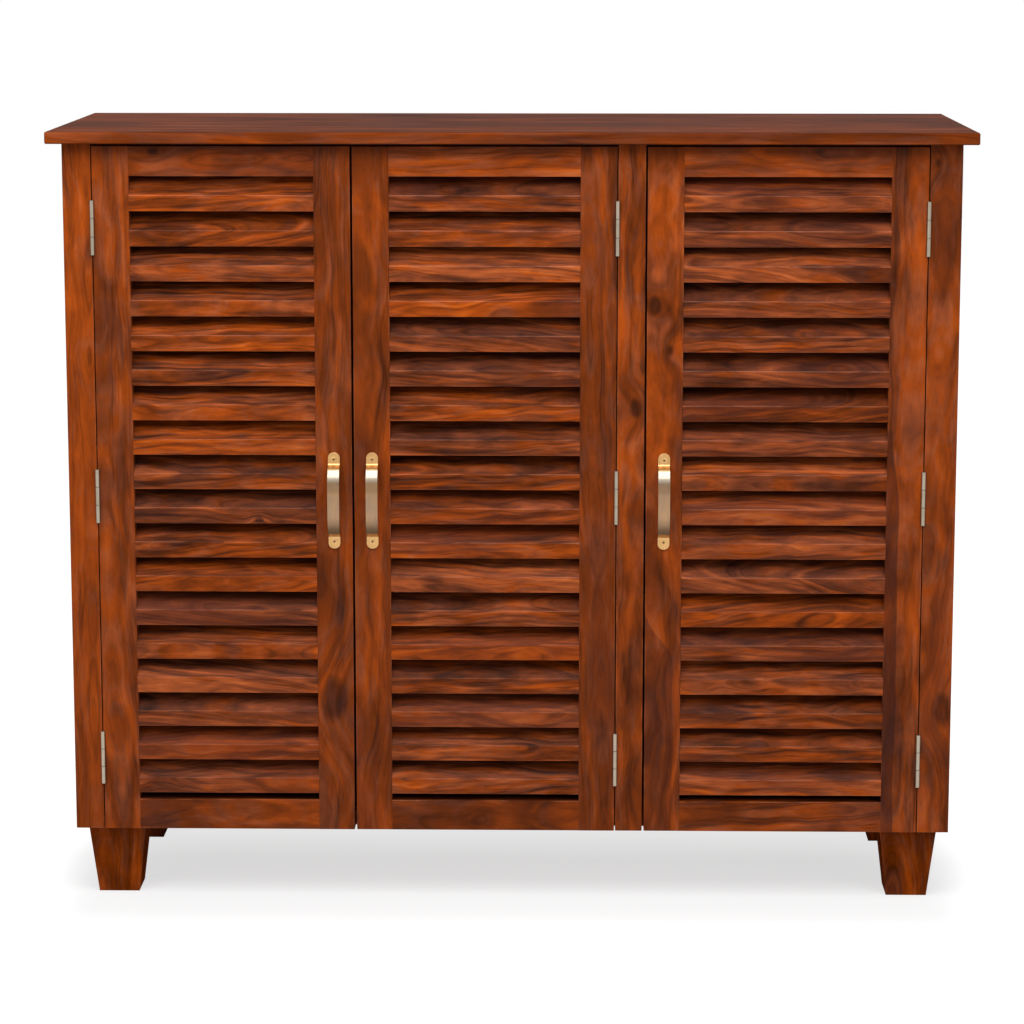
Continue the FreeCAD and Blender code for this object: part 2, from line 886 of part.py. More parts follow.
def handle_side_outline():
    """The bent strap seen from the side, in Y and Z: a tab, a sloping leg, the bar, a
    leg and a tab, at an even thickness."""
    middle = size("handle_height")
    thick = size("handle_thickness")
    end = size("handle_length") / 2
    tab = end - size("handle_tab_length")
    bar = size("handle_bar_length") / 2
    bar_front = front - size("handle_projection")
    outer = [
        (front - thick, end),
        (front - thick, tab),
        (bar_front, bar),
    ]
    inner = [
        (bar_front + thick, bar - thick),
        (front, tab - thick),
        (front, end),
    ]
    upper = [(y, middle + up) for y, up in outer]
    upper_inner = [(y, middle + up) for y, up in inner]
    lower = [(y, middle - up) for y, up in reversed(outer)]
    lower_inner = [(y, middle - up) for y, up in reversed(inner)]
    return upper + lower + lower_inner + upper_inner


def bend_edges(shape):
    """The names of the strap's bend edges: those across it, away from its tabs' ends."""
    end_height = size("handle_length").value / 2
    names = []
    for index, edge in enumerate(shape.Edges):
        first, last = (vertex.Point for vertex in edge.Vertexes)
        along_x = abs(first.x - last.x) > size("handle_width").value / 2
        from_middle = abs(first.z - size("handle_height").value)
        if along_x and from_middle < end_height - SAME_HEIGHT:
            names.append(f"Edge{index + 1}")
    return names


def tab_corner_edges(shape):
    """The names of the four upright-to-the-door edges at the tabs' ends."""
    end_height = size("handle_length").value / 2
    names = []
    for index, edge in enumerate(shape.Edges):
        first, last = (vertex.Point for vertex in edge.Vertexes)
        across = abs(first.y - last.y) > size("handle_thickness").value / 2
        from_middle = abs(first.z - size("handle_height").value)
        at_end = from_middle > end_height - SAME_HEIGHT
        if across and at_end and abs(first.z - last.z) < SAME_HEIGHT:
            names.append(f"Edge{index + 1}")
    return names


def round_edges(body, base, names, radius):
    """Rounds the named edges of a feature."""
    rounding = body.newObject("PartDesign::Fillet", f"{body.Label}_rounding")
    rounding.Base = (base, names)
    rounding.setExpression("Radius", radius.text)
    doc.recompute()
    return rounding


def make_handle(label, door):
    """A bent strap handle, screwed to the free stile through its two tabs."""
    body = new_body(label)
    middle = door.x(door.lock_stile_middle)
    half_width_of_strap = size("handle_width") / 2
    sketch = sketch_on(body, "X", middle - half_width_of_strap)
    draw_outline(sketch, handle_side_outline())
    strap = pad(body, sketch, size("handle_width"))
    doc.recompute()
    bent = round_edges(body, strap, bend_edges(strap.Shape), size("handle_bend_radius"))
    ends = tab_corner_edges(bent.Shape)
    round_edges(body, bent, ends, size("handle_end_radius"))
    holes = sketch_on(body, "Y", front)
    for height in handle_screw_heights():
        radius = size("handle_screw_radius") + size("screw_clearance")
        draw_circle(holes, (middle, height), radius)
    pocket(body, holes, size("handle_thickness"), -1)


def make_handle_screws(label, door):
    """Two screws with low round heads that clamp the handle's tabs."""
    body = new_body(label)
    middle = door.x(door.lock_stile_middle)
    tab_face = front - size("handle_thickness")
    crown = size("handle_screw_crown")
    heads = sketch_on(body, "Y", tab_face - crown)
    shanks = sketch_on(body, "Y", tab_face)
    for height in handle_screw_heights():
        draw_circle(heads, (middle, height), size("handle_screw_head"))
        draw_circle(shanks, (middle, height), size("handle_screw_radius"))
    pad(body, heads, crown)
    pad(body, shanks, size("handle_screw_length"))


def cut_lock_stile(body, door):
    """Drills a free stile for its handle's screws, and sinks its strike plate."""
    middle = door.x(door.lock_stile_middle)
    drill = sketch_on(body, "Y", front)
    for height in handle_screw_heights():
        radius = size("handle_screw_radius") + size("screw_clearance")
        draw_circle(drill, (middle, height), radius)
    pocket(body, drill, size("handle_screw_length") - size("handle_thickness"), 1)
    seat = sketch_on(body, "Y", door_back)
    radius = size("strike_radius") + size("screw_clearance")
    draw_circle(seat, (middle, catch_height), radius)
    pocket(body, seat, size("strike_thickness"), -1)


def make_strike_plate(label, door):
    """A steel disc let into the back of the free stile, for the magnet."""
    body = new_body(label)
    sketch = sketch_on(body, "Y", door_back - size("strike_thickness"))
    place = (door.x(door.lock_stile_middle), catch_height)
    draw_circle(sketch, place, size("strike_radius"))
    pad(body, sketch, size("strike_thickness"))


def make_door(door):
    """One louvred door with its handle and strike plate."""
    hinge_stile = make_door_stile(
        f"{door.name}_hinge_stile",
        door,
        door.hinge_edge,
        door.hinge_stile_end,
        door.hinge_stile_end,
    )
    cut_hinge_seats(hinge_stile, door, 1)
    lock_stile = make_door_stile(
        f"{door.name}_lock_stile",
        door,
        door.lock_stile_start,
        door.free_edge,
        door.lock_stile_start,
    )
    cut_lock_stile(lock_stile, door)
    for rail, z_range in rail_ranges().items():
        make_door_rail(f"{door.name}_{rail}", door, z_range)
    make_slats(f"{door.name}_slats", door)
    make_handle(f"{door.name}_handle", door)
    make_handle_screws(f"{door.name}_handle_screws", door)
    make_strike_plate(f"{door.name}_strike_plate", door)


# ------------------------------------------------------------------ check and write


def check_document():
    """Stops if any object failed, or any sub-part's shape is missing or broken."""
    for item in doc.Objects:
        if "Invalid" in item.State or "Error" in item.State:
            raise RuntimeError(f"{item.Label} is {item.State}")
    for node in nodes:
        if node.Shape.isNull() or not node.Shape.isValid():
            raise RuntimeError(f"{node.Label} has a broken shape")
        if not node.Shape.Solids:
            raise RuntimeError(f"{node.Label} has no solid")


def write_parts():
    """Writes each sub-part to its own file."""
    os.makedirs("parts", exist_ok=True)
    for node in nodes:
        node.Shape.exportStep(f"parts/{node.Label}.step")
        box = node.Shape.BoundBox
        print(
            f"{node.Label}: {len(node.Shape.Solids)} solids, "
            f"x {box.XMin:.1f}..{box.XMax:.1f}, "
            f"y {box.YMin:.1f}..{box.YMax:.1f}, z {box.ZMin:.1f}..{box.ZMax:.1f}"
        )


make_carcass()
make_face_stiles()
make_hinges()
for each_door in doors:
    make_door(each_door)
doc.recompute()
check_document()
write_parts()
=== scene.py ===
import json
import math
import random

import bpy
from bpy.props import FloatProperty, FloatVectorProperty, PointerProperty
from bpy.types import Operator, Panel, PropertyGroup
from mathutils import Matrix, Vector

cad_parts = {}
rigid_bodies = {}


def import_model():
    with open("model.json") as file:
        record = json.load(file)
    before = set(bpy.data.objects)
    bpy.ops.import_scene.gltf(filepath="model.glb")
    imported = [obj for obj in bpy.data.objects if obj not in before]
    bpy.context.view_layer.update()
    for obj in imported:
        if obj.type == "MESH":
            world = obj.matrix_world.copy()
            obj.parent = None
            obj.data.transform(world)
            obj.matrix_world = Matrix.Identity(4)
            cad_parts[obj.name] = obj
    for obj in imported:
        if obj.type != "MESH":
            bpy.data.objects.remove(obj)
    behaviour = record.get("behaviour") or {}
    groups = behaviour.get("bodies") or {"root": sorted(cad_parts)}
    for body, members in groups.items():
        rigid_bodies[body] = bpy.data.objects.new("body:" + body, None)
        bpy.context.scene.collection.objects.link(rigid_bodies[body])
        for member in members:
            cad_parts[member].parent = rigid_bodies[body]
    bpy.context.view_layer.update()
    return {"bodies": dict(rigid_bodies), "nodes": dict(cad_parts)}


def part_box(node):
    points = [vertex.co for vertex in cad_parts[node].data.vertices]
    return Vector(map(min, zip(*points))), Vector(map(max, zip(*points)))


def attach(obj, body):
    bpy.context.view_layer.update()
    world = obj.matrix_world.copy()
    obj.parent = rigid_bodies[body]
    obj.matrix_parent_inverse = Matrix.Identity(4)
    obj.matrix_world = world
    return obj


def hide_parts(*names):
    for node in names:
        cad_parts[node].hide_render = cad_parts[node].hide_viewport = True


bl_info = {
    "name": "Louvred Door Cabinet",
    "version": (1, 0, 0),
    "blender": (4, 5, 0),
    "location": "View3D > Sidebar > Cabinet",
    "description": "Planes, finishes and lights the three-door louvred cabinet",
    "category": "Object",
}

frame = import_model()

DOORS = ("left_door", "middle_door", "right_door")
RAILS = ("top_rail", "bottom_rail")
FEET = ("foot_front_left", "foot_front_right", "foot_back_left", "foot_back_right")
FACE_STILES = ("face_stile_left", "face_stile_centre", "face_stile_right")
SIDE_PANELS = ("side_panel_left", "side_panel_right")

# What sets each board of the front apart. Knots are given as along the grain, across it, size.
# A heart is a dark band along one side of a board: where it starts along the grain, over what
# length it widens, the two places across the grain that it reaches, narrow and wide, and how
# dark it is.
BOARDS = {
    "face_stile_left": {"tone": 0.10, "contrast": 1.3, "seed": 21, "rosy": -0.11},
    "face_stile_centre": {
        "tone": 0.015,
        "contrast": 1.9,
        "seed": 23,
        "rosy": -0.06,
        "knots": ((0.0985, -0.0058, 0.010),),
    },
    "face_stile_right": {
        "tone": 0.02,
        "contrast": 1.7,
        "seed": 29,
        "rosy": -0.05,
        "knots": ((0.385, 0.010, 0.007), (-0.257, -0.008, 0.016)),
    },
    "left_door_hinge_stile": {"tone": 0.04, "contrast": 1.7},
    "left_door_lock_stile": {
        "tone": -0.01,
        "contrast": 1.4,
        "knots": ((-0.248, 0.0005, 0.021),),
    },
    "left_door_top_rail": {"tone": -0.01, "contrast": 2.2, "knots": ((-0.078, 0.011, 0.006),)},
    "left_door_bottom_rail": {"tone": -0.11, "contrast": 2.0},
    "middle_door_lock_stile": {"tone": -0.02, "contrast": 1.5, "rosy": -0.09},
    "middle_door_hinge_stile": {"tone": -0.09, "contrast": 1.5},
    "middle_door_top_rail": {"tone": 0.15, "contrast": 2.0},
    "middle_door_bottom_rail": {"tone": -0.10, "contrast": 1.8},
    "right_door_lock_stile": {
        "tone": 0.02,
        "contrast": 2.1,
        "rosy": -0.08,
        "knots": ((0.170, -0.006, 0.008), (0.222, 0.011, 0.008)),
        "heart": (-0.147, 0.05, 0.0190, -0.0108, 0.15),
    },
    "right_door_hinge_stile": {
        "tone": -0.025,
        "contrast": 2.0,
        "heart": (0.076, 0.10, 0.0155, 0.0062, 0.24),
    },
    "right_door_top_rail": {"tone": 0.0, "contrast": 2.0},
    "right_door_bottom_rail": {"tone": 0.0, "contrast": 2.2},
    "foot_front_left": {"tone": 0.0},
}

# Knots in the slats, given as X, Z and size in the cabinet.
SLAT_KNOTS = ((-0.2944, 0.4600, 0.0060),)

# How much of a stile is drawn out anew to close the slats' housings, and how far each slat
# end is drawn in to suit.
HOUSING = 0.0035
SLAT_BITE = 0.00295

# Points, planes and rims count as the same within these distances.
SAME = 0.00001
ON_PLANE = 0.00005
ON_RIM = 0.00008
NEAR = 0.0001

QUARTER_TURN = math.radians(90)

# How a board's own axes lie in the cabinet: its grain runs along its own X.
GRAIN_TURNS = {
    "X": (0.0, 0.0, 0.0),
    "Y": (0.0, 0.0, QUARTER_TURN),
    "Z": (0.0, -QUARTER_TURN, 0.0),
}

# How far the growth rings wander off their course.
WANDER = 0.030

# Where a glue line starts and is full, in widths of a lane from the lane's middle.
GLUE_LINE = (0.488, 0.498)

# How far the heartwood's long edge strays, and how softly it and its end run out.
HEART_STRAY = 0.006
HEART_EDGE = 0.0008
HEART_END = 0.004


# ---------------------------------------------------------------------------
# Shader sums
# ---------------------------------------------------------------------------


class Socket:
    """An output socket that takes part in Python sums, each of which adds a node."""

    def __init__(self, finish, socket):
        self.finish = finish
        self.socket = socket

    def maths(self, operation, *terms):
        kind = "ShaderNodeVectorMath" if self.socket.type == "VECTOR" else "ShaderNodeMath"
        return self.finish.add(kind, {"operation": operation}, dict(enumerate(terms)))

    def __add__(self, other):
        return self.maths("ADD", self, other)

    def __radd__(self, other):
        return self.maths("ADD", other, self)

    def __sub__(self, other):
        return self.maths("SUBTRACT", self, other)

    def __rsub__(self, other):
        return self.maths("SUBTRACT", other, self)

    def __mul__(self, other):
        return self.maths("MULTIPLY", self, other)

    def __rmul__(self, other):
        return self.maths("MULTIPLY", other, self)

    def __truediv__(self, other):
        return self.maths("DIVIDE", self, other)

    def __pow__(self, other):
        return self.maths("POWER", self, other)

    def size(self):
        return self.maths("ABSOLUTE", self)

    def floor(self):
        return self.maths("FLOOR", self)

    def at_least(self, low):
        return self.maths("MAXIMUM", self, low)

    def clamped(self):
        return self.maths("MINIMUM", self.at_least(0.0), 1.0)


class Finish:
    """Nodes under construction: one method adds any node and hands back an output."""

    def __init__(self, owner):
        owner.use_nodes = True
        self.owner = owner
        self.tree = owner.node_tree
        self.tree.nodes.clear()

    def add(self, kind, settings=None, sockets=None, output=0):
        """Adds a node with these settings and sockets, and hands back one output."""
        node = self.tree.nodes.new(kind)
        for setting, value in (settings or {}).items():
            if setting == "stops":
                stops = node.color_ramp.elements
                while len(stops) < len(value):
                    stops.new(0.5)
                for stop, (place, colour) in zip(stops, value):
                    stop.position = place
                    stop.color = (*colour, 1.0)
            else:
                setattr(node, setting, value)
        for socket, value in (sockets or {}).items():
            if isinstance(value, Socket):
                self.tree.links.new(value.socket, node.inputs[socket])
            elif node.inputs[socket].type == "RGBA":
                node.inputs[socket].default_value = (*value, 1.0)
            else:
                node.inputs[socket].default_value = value
        return None if output is None else Socket(self, node.outputs[output])

    def join(self, x, y, z):
        return self.add("ShaderNodeCombineXYZ", None, {0: x, 1: y, 2: z})

    def split(self, vector):
        node = self.add("ShaderNodeSeparateXYZ", None, {0: vector}).socket.node
        return [Socket(self, out) for out in node.outputs]

    def place(self):
        """Where a point lies in the space of its object."""
        return self.add("ShaderNodeTexCoord", output="Object")

    def rays(self):
        """Whether a ray comes from the camera, from a gloss or through glass."""
        path = self.add("ShaderNodeLightPath").socket.node
        kinds = ("Camera", "Glossy", "Transmission")
        return [Socket(self, path.outputs[f"Is {kind} Ray"]) for kind in kinds]

    def noise(self, place, detail=2.0, roughness=0.5, distortion=0.0, scale=1.0, output=0):
        """Noise at a place, which may also be given as three coordinates."""
        if not isinstance(place, Socket):
            place = self.join(*place)
        return self.add(
            "ShaderNodeTexNoise",
            {"noise_dimensions": "3D"},
            {
                "Vector": place,
                "Scale": scale,
                "Detail": detail,
                "Roughness": roughness,
                "Distortion": distortion,
            },
            output,
        )

    def ramp(self, value, stops):
        return self.add("ShaderNodeValToRGB", {"stops": stops}, {0: value})

    def greys(self, value, low, high):
        """A grey that runs from low to high while the value goes from 0 to 1."""
        return self.ramp(value, [(0.0, (low, low, low)), (1.0, (high, high, high))])

    def mark(self, name, output=2):
        """What the mesh carries on its faces: a number, or a vector as output 1."""
        return self.add("ShaderNodeAttribute", {"attribute_name": name}, None, output)

    def band(self, value, low, high):
        """0 below low, 1 above high and smooth between."""
        return self.add(
            "ShaderNodeMapRange",
            {"interpolation_type": "SMOOTHSTEP"},
            {0: value, 1: low, 2: high},
        )

    def blend(self, factor, first, second, kind="MIX"):
        """Mixes two colours, which the node takes in at 6 and 7 and gives out at 2."""
        return self.add(
            "ShaderNodeMix",
            {"data_type": "RGBA", "blend_type": kind},
            {0: factor, 6: first, 7: second},
            2,
        )

    def close(self, sockets, bump=None, strength=0.3, depth=0.001):
        """Ends the material in a Principled shader with these sockets."""
        if bump is not None:
            sockets = dict(sockets)
            sockets["Normal"] = self.add(
                "ShaderNodeBump",
                None,
                {"Height": bump, "Strength": strength, "Distance": depth},
            )
        surface = self.add("ShaderNodeBsdfPrincipled", None, sockets)
        self.add("ShaderNodeOutputMaterial", None, {"Surface": surface}, None)
        return self.owner


# ---------------------------------------------------------------------------
# Finishes
# ---------------------------------------------------------------------------


def sheesham(name, look, centre=None, grain="X", seed=0, tone=0.0, lane=None, **shape):
    """Lacquered sheesham. Growth rings round a pith outside the board give its figure.

    centre is the board's middle. Without it, each board in the mesh carries its own in the
    attribute board_place. lane is the width of the boards that a wide panel is glued from.
    shape holds what sets the board apart, such as its contrast and its knots.
    """
    finish = Finish(bpy.data.materials.new(name))
    dice = random.Random(seed)
    place = finish.place()
    if centre is None:
        board = finish.mark("board_place", 1)
        local = place - board
    else:
        local = finish.add(
            "ShaderNodeMapping",
            {"vector_type": "TEXTURE"},
            {"Vector": place, "Location": centre, "Rotation": GRAIN_TURNS[grain]},
        )
        board = None
    along, deep, across = finish.split(local)
    along = along * shape.get("run", 1.0)
    glue = None
    if lane:
        wide = deep if shape.get("flat") else across
        lanes = wide / lane + 0.5 + dice.random()
        number = lanes.floor()
        inside = lanes - number - 0.5
        board = finish.join(number, float(seed), 3.0)
        glue = finish.band(inside.size(), *GLUE_LINE)
        if shape.get("flat"):
            deep, across = across, inside * lane
        else:
            across = inside * lane
    if board is None:
        chance = [dice.random() for _ in range(3)]
        start = dice.uniform(5.0, 40.0)
    else:
        rolled = finish.add(
            "ShaderNodeTexWhiteNoise", {"noise_dimensions": "3D"}, {"Vector": board}, "Color"
        )
        chance = finish.split(rolled)
        start = chance[0] * 35.0 + 5.0
    pith_depth = shape.get("pith", 0.035) * (chance[0] * 0.9 + 0.35)
    pith_across = (chance[1] - 0.5) * shape.get("off_centre", 0.05)
    lean = (chance[2] - 0.5) * 2.0
    if board is None or lane:
        slope = lean * shape.get("slope", 0.10) * 0.5
    else:
        slope = lean * lean * lean * shape["slope"]

    drift = finish.noise((along * shape["waves"], start, 1.0), output="Color")
    drift_deep, drift_across, _ = finish.split(drift)
    ripple = finish.noise((along * 9.5 + start, across * 13.0, deep * 13.0))
    from_pith_deep = deep + pith_depth + (drift_deep - 0.5) * WANDER
    from_pith_across = across + pith_across + slope * along + (drift_across - 0.5) * WANDER
    radius = (from_pith_deep * from_pith_deep + from_pith_across * from_pith_across) ** 0.5
    radius = radius + (ripple - 0.5) * shape.get("ripple", 0.014)
    knot_shade = None
    if centre is None:
        from_knot, _, over_knot = finish.split(place)
    else:
        from_knot, over_knot = along, across
    stretch = shape.get("knot_stretch", 0.35)
    for knot_along, knot_across, size in shape.get("knots", ()):
        reach = (from_knot - knot_along) ** 2.0 * stretch + (over_knot - knot_across) ** 2.0
        reach = reach ** 0.5
        radius = radius + (1.0 - finish.band(reach, 0.0, size * 3.0)) * size * 1.1
        shade = 1.0 - finish.band(reach + (ripple - 0.5) * size * 2.0, size * 0.3, size * 0.9)
        knot_shade = shade if knot_shade is None else knot_shade + shade

    fine = shape.get("fine", 1.0)
    streaks = finish.noise(
        (along * 8.0 + start, radius * 95.0 * fine, start), 4.0, shape.get("crisp", 0.54), 0.45
    )
    patches = finish.noise(
        (along * 4.6, radius * 34.0 * fine + start, start + 7.0), distortion=0.6
    )
    flames = finish.noise(
        (along * 21.0, across * 52.0 * fine + start, deep * 52.0 * fine), 3.0, 0.5, 0.6
    )
    contours = finish.noise((along * 2.6 + start, radius * 62.0, start + 31.0), 1.0, 0.5, 0.3)
    veins = 1.0 - finish.band((contours - 0.5).size(), 0.004, 0.034)
    veins = veins * finish.band(patches, 0.62, 0.42)
    ring = radius * 190.0 * fine ** 0.5 + patches * 5.0
    ring = ring - ring.floor()
    late = finish.band(ring, 0.55, 0.93) * (1.0 - finish.band(ring, 0.93, 1.0))
    late = late * finish.band(streaks, 0.60, 0.42)
    fibre = finish.noise((along * 38.0 + start, across * 950.0, deep * 950.0), 2.0, 0.6)
    flame = shape.get("flame", 0.28)
    figure = streaks * (0.78 - flame) + patches * 0.22 + flames * flame
    figure = (figure - 0.5) * shape.get("contrast", 1.8) + 0.5 + tone
    figure = figure - veins * 0.13 - late * shape.get("rings", 0.08)
    if knot_shade is not None:
        figure = figure - knot_shade * 0.34
    heart = None
    if "heart" in shape:
        start_along, widens_over, narrow, wide, dark = shape["heart"]
        taper = finish.band(along, start_along - widens_over, start_along)
        edge = across + (ripple - 0.5) * HEART_STRAY + (drift_across - 0.5) * HEART_STRAY - wide
        heart = finish.band(edge - taper * (narrow - wide), -HEART_EDGE, HEART_EDGE)
        ended = finish.band(along, start_along - HEART_END, start_along + HEART_END)
        heart = heart * (1.0 - ended)
        figure = figure - heart * dark
    # Painted light: the marked faces are made lighter than the rest of the board.
    if "edge_tone" in shape:
        figure = figure + finish.mark("edge_grain") * shape["edge_tone"]
    if board is not None:
        figure = figure + (chance[1] - 0.5) * shape.get("board_tone", 0.16)
    colour = finish.ramp(
        figure,
        [
            (0.00, look.darkest),
            (0.26, look.heart),
            (0.45, look.brown),
            (0.58, look.body),
            (0.76, look.bright),
            (1.00, look.amber),
        ],
    )
    rosy = finish.noise((along * 20.0 + start, radius * 140.0, start + 53.0), 4.0, 0.6, 0.6)
    rosy = rosy + shape.get("rosy", -0.03)
    if board is not None:
        rosy = rosy + (chance[2] - 0.5) * shape.get("board_hue", 0.10)
    rosiness = finish.band(rosy, 0.38, 0.60)
    hue = finish.blend(rosiness, look.orange_tint, (1.0, 1.0, 1.0))
    colour = finish.blend(1.0, colour, hue, "MULTIPLY")
    plum = finish.noise((along * 2.2 + 3.0, radius * 22.0, start + 19.0), 2.0, 0.5, 0.4)
    plum_share = finish.band(plum, 0.52, 0.72) * shape.get("plum", 0.30)
    if heart is not None:
        plum_share = plum_share + heart * dark
    colour = finish.blend(plum_share, colour, look.plum)
    grey = finish.greys((fibre - 0.5) * 1.6 + 0.5, 0.84, 1.06)
    colour = finish.blend(1.0, colour, grey, "MULTIPLY")
    pores = finish.noise((along * 70.0, across * 1500.0 + start, deep * 1500.0), 1.0)
    pore = finish.band(pores, 0.64, 0.74)
    colour = finish.blend(pore * 0.35, colour, look.darkest)
    if glue is not None:
        colour = finish.blend(glue * 0.6, colour, look.darkest)
    arris = finish.mark("arris")
    # Partly a worn, lighter arris and partly a painted highlight: the arrises are lightened in
    # broken stretches.
    worn = arris * finish.band(flames, 0.40, 0.60) * shape.get("wear", 0.30)
    colour = finish.blend(worn, colour, look.worn)

    shine = shape.get("roughness", look.roughness)
    gloss = shape.get("specular", look.specular)
    rough = shine + (0.5 - streaks) * 0.12 + pore * 0.15 - arris * 0.06
    height = fibre * 0.25 + streaks * 0.5 - pore * 0.6
    return finish.close(
        {
            "Base Color": colour,
            "Roughness": rough,
            "Specular IOR Level": gloss,
            "Coat Weight": arris * (flames * 4.0 - 1.4).clamped() * look.coat + gloss / 3.0,
            "Coat Roughness": look.coat_roughness,
        },
        bump=height,
        strength=0.25,
        depth=0.0006,
    )


def board_wood(node, look, grain, usual):
    """The wood of one board, with what BOARDS says of it over what is usual."""
    shape = usual | BOARDS.get(node, {})
    return sheesham(f"{node}_wood", look, middle_of(node), grain, **shape)


def brushed_metal(name, colour, shade, roughness, seed):
    """Satin metal: fine brush lines, soft tarnishing and painted shade in the recesses."""
    finish = Finish(bpy.data.materials.new(name))
    place = finish.place()
    x, y, z = finish.split(place)
    lines = finish.noise((x * 900.0 + seed, y * 900.0, z * 30.0), 3.0, 0.6)
    tarnish_and_shade = finish.noise((x * 60.0 + seed, y * 60.0, z * 45.0), 3.0, 0.6)
    tint = finish.blend(finish.band(tarnish_and_shade, 0.35, 0.75) * 0.5, colour, shade)
    shading = finish.greys((lines - 0.3) * 2.5, 0.7, 1.0)
    tint = finish.blend(0.5, tint, shading, "MULTIPLY")
    # Painted shade: faces marked recess are darkened almost to black, and made rougher and less
    # metallic.
    recess = finish.mark("recess")
    tint = finish.blend(recess * 0.85, tint, (0.02, 0.014, 0.01))
    rough = roughness + (lines - 0.5) * 0.18 + recess * 0.3
    return finish.close(
        {"Base Color": tint, "Roughness": rough, "Metallic": 1.0 - recess * 0.7},
        bump=lines,
        strength=0.15,
        depth=0.0002,
    )


def handle_metal(look):
    """Golden tabs that run into a pale bar, with a painted highlight on its upper shoulder,
    painted shade under that and towards its lower end, and fine brush lines along the strap.
    """
    finish = Finish(bpy.data.materials.new("handle_metal"))
    place = finish.place()
    x, y, z = finish.split(place)
    height = z - middle_of("left_door_handle").z
    from_middle = height.size()
    bar_end = look.bar / 2
    lines = finish.noise((x * 1400.0, y * 300.0, z * 18.0), 3.0, 0.6)
    tarnish_and_shade = finish.noise((x * 70.0 + 3.0, y * 70.0, z * 45.0), 3.0, 0.6)
    ragged = from_middle + (tarnish_and_shade - 0.5) * 0.002
    tab = finish.band(ragged, bar_end + 0.001, bar_end + 0.003)
    dulled = finish.band(tarnish_and_shade, 0.3, 0.7) * 0.5
    rubbed = finish.blend(dulled, look.champagne, look.dull_brass)
    dulled = finish.band(tarnish_and_shade, 0.35, 0.75) * 0.35
    golden = finish.blend(dulled, look.brass, look.dull_brass)
    # Painted highlight: the bar is made pale in a band on its upper shoulder.
    brow = finish.band(height, 0.022, 0.027)
    rubbed = finish.blend(brow, rubbed, look.painted_highlight)
    tint = finish.blend(tab, rubbed, golden)
    shading = finish.greys((lines - 0.3) * 2.5, 0.82, 1.0)
    tint = finish.blend(1.0, tint, shading, "MULTIPLY")
    # Painted shade: the bar is darkened in a band under the painted highlight and towards its
    # lower end, where its coat is also left off.
    under_brow = finish.band(height, 0.008, 0.015) * (1.0 - brow)
    low_end = finish.band(height * -1.0, 0.014, 0.036) * (1.0 - tab)
    tint = finish.blend(under_brow * 0.35 + low_end * 0.95, tint, look.tarnish_and_shade)
    rough = 0.30 + (lines - 0.5) * 0.16 + tarnish_and_shade * 0.06
    return finish.close(
        {
            "Base Color": tint,
            "Roughness": rough,
            "Metallic": 1.0,
            "Coat Weight": (1.0 - tab) * (1.0 - low_end) * 0.5,
            "Coat Roughness": 0.16,
        },
        bump=lines,
        strength=0.12,
        depth=0.0002,
    )


# ---------------------------------------------------------------------------
# Hand work on meshes
# ---------------------------------------------------------------------------


def pick(*pieces):
    """Selects only these, with the first active."""
    bpy.ops.object.select_all(action="DESELECT")
    for piece in pieces:
        piece.select_set(True)
    bpy.context.view_layer.objects.active = pieces[0]


def enter_edit():
    """Goes into edit mode with what is marked still selected."""
    bpy.ops.object.mode_set(mode="EDIT")


def leave_edit():
    bpy.ops.object.mode_set(mode="OBJECT")


def edit_all(piece):
    """Goes into edit mode with every face of a piece selected."""
    pick(piece)
    enter_edit()
    bpy.ops.mesh.select_mode(type="FACE")
    bpy.ops.mesh.select_all(action="SELECT")


def mark(piece, kind, wanted):
    """Selects only the points, edges or faces that pass. Some have to."""
    enter_edit()
    bpy.ops.mesh.select_mode(type=kind)
    bpy.ops.mesh.select_all(action="DESELECT")
    leave_edit()
    mesh = piece.data
    count = 0
    for item in {"VERT": mesh.vertices, "EDGE": mesh.edges, "FACE": mesh.polygons}[kind]:
        item.select = wanted(item)
        count += item.select
    if count == 0:
        raise RuntimeError(f"{piece.name} has nothing to select there")


def mark_edges(piece, wanted):
    """Selects only the edges whose two ends pass."""

    def passes(edge):
        return wanted(*(piece.data.vertices[i].co for i in edge.vertices))

    mark(piece, "EDGE", passes)


def marked_faces(piece):
    return [face.index for face in piece.data.polygons if face.select]


def draw_out(step):
    """Extrudes what is selected by a step."""
    bpy.ops.mesh.extrude_region_move(TRANSFORM_OT_translate={"value": step})


def merge_flat():
    """Merges double points and makes flat faces whole, in what is selected."""
    bpy.ops.mesh.remove_doubles(threshold=SAME)
    bpy.ops.mesh.dissolve_limited(angle_limit=math.radians(0.3))


def face_attribute(piece, name, faces, value=1.0):
    """Writes a number on these faces, for the materials to read."""
    layer = piece.data.attributes.get(name)
    if layer is None:
        layer = piece.data.attributes.new(name, "FLOAT", "FACE")
    for i in faces:
        layer.data[i].value = value


def body_of(node):
    parent = frame["nodes"][node].parent
    return next(body for body, empty in frame["bodies"].items() if empty == parent)


def copy_of(node, name):
    """A merged copy of a CAD node's mesh, with its flat faces made whole."""
    piece = bpy.data.objects.new(name, frame["nodes"][node].data.copy())
    bpy.context.scene.collection.objects.link(piece)
    piece.data.materials.clear()
    edit_all(piece)
    merge_flat()
    leave_edit()
    return piece


def soften(piece, wanted, width, segments=3):
    """Rounds the arrises that pass, and writes which faces they became."""
    mark_edges(piece, wanted)
    enter_edit()
    bpy.ops.mesh.bevel(
        offset=width, offset_type="OFFSET", segments=segments, affect="EDGES", clamp_overlap=True
    )
    leave_edit()
    face_attribute(piece, "arris", marked_faces(piece))


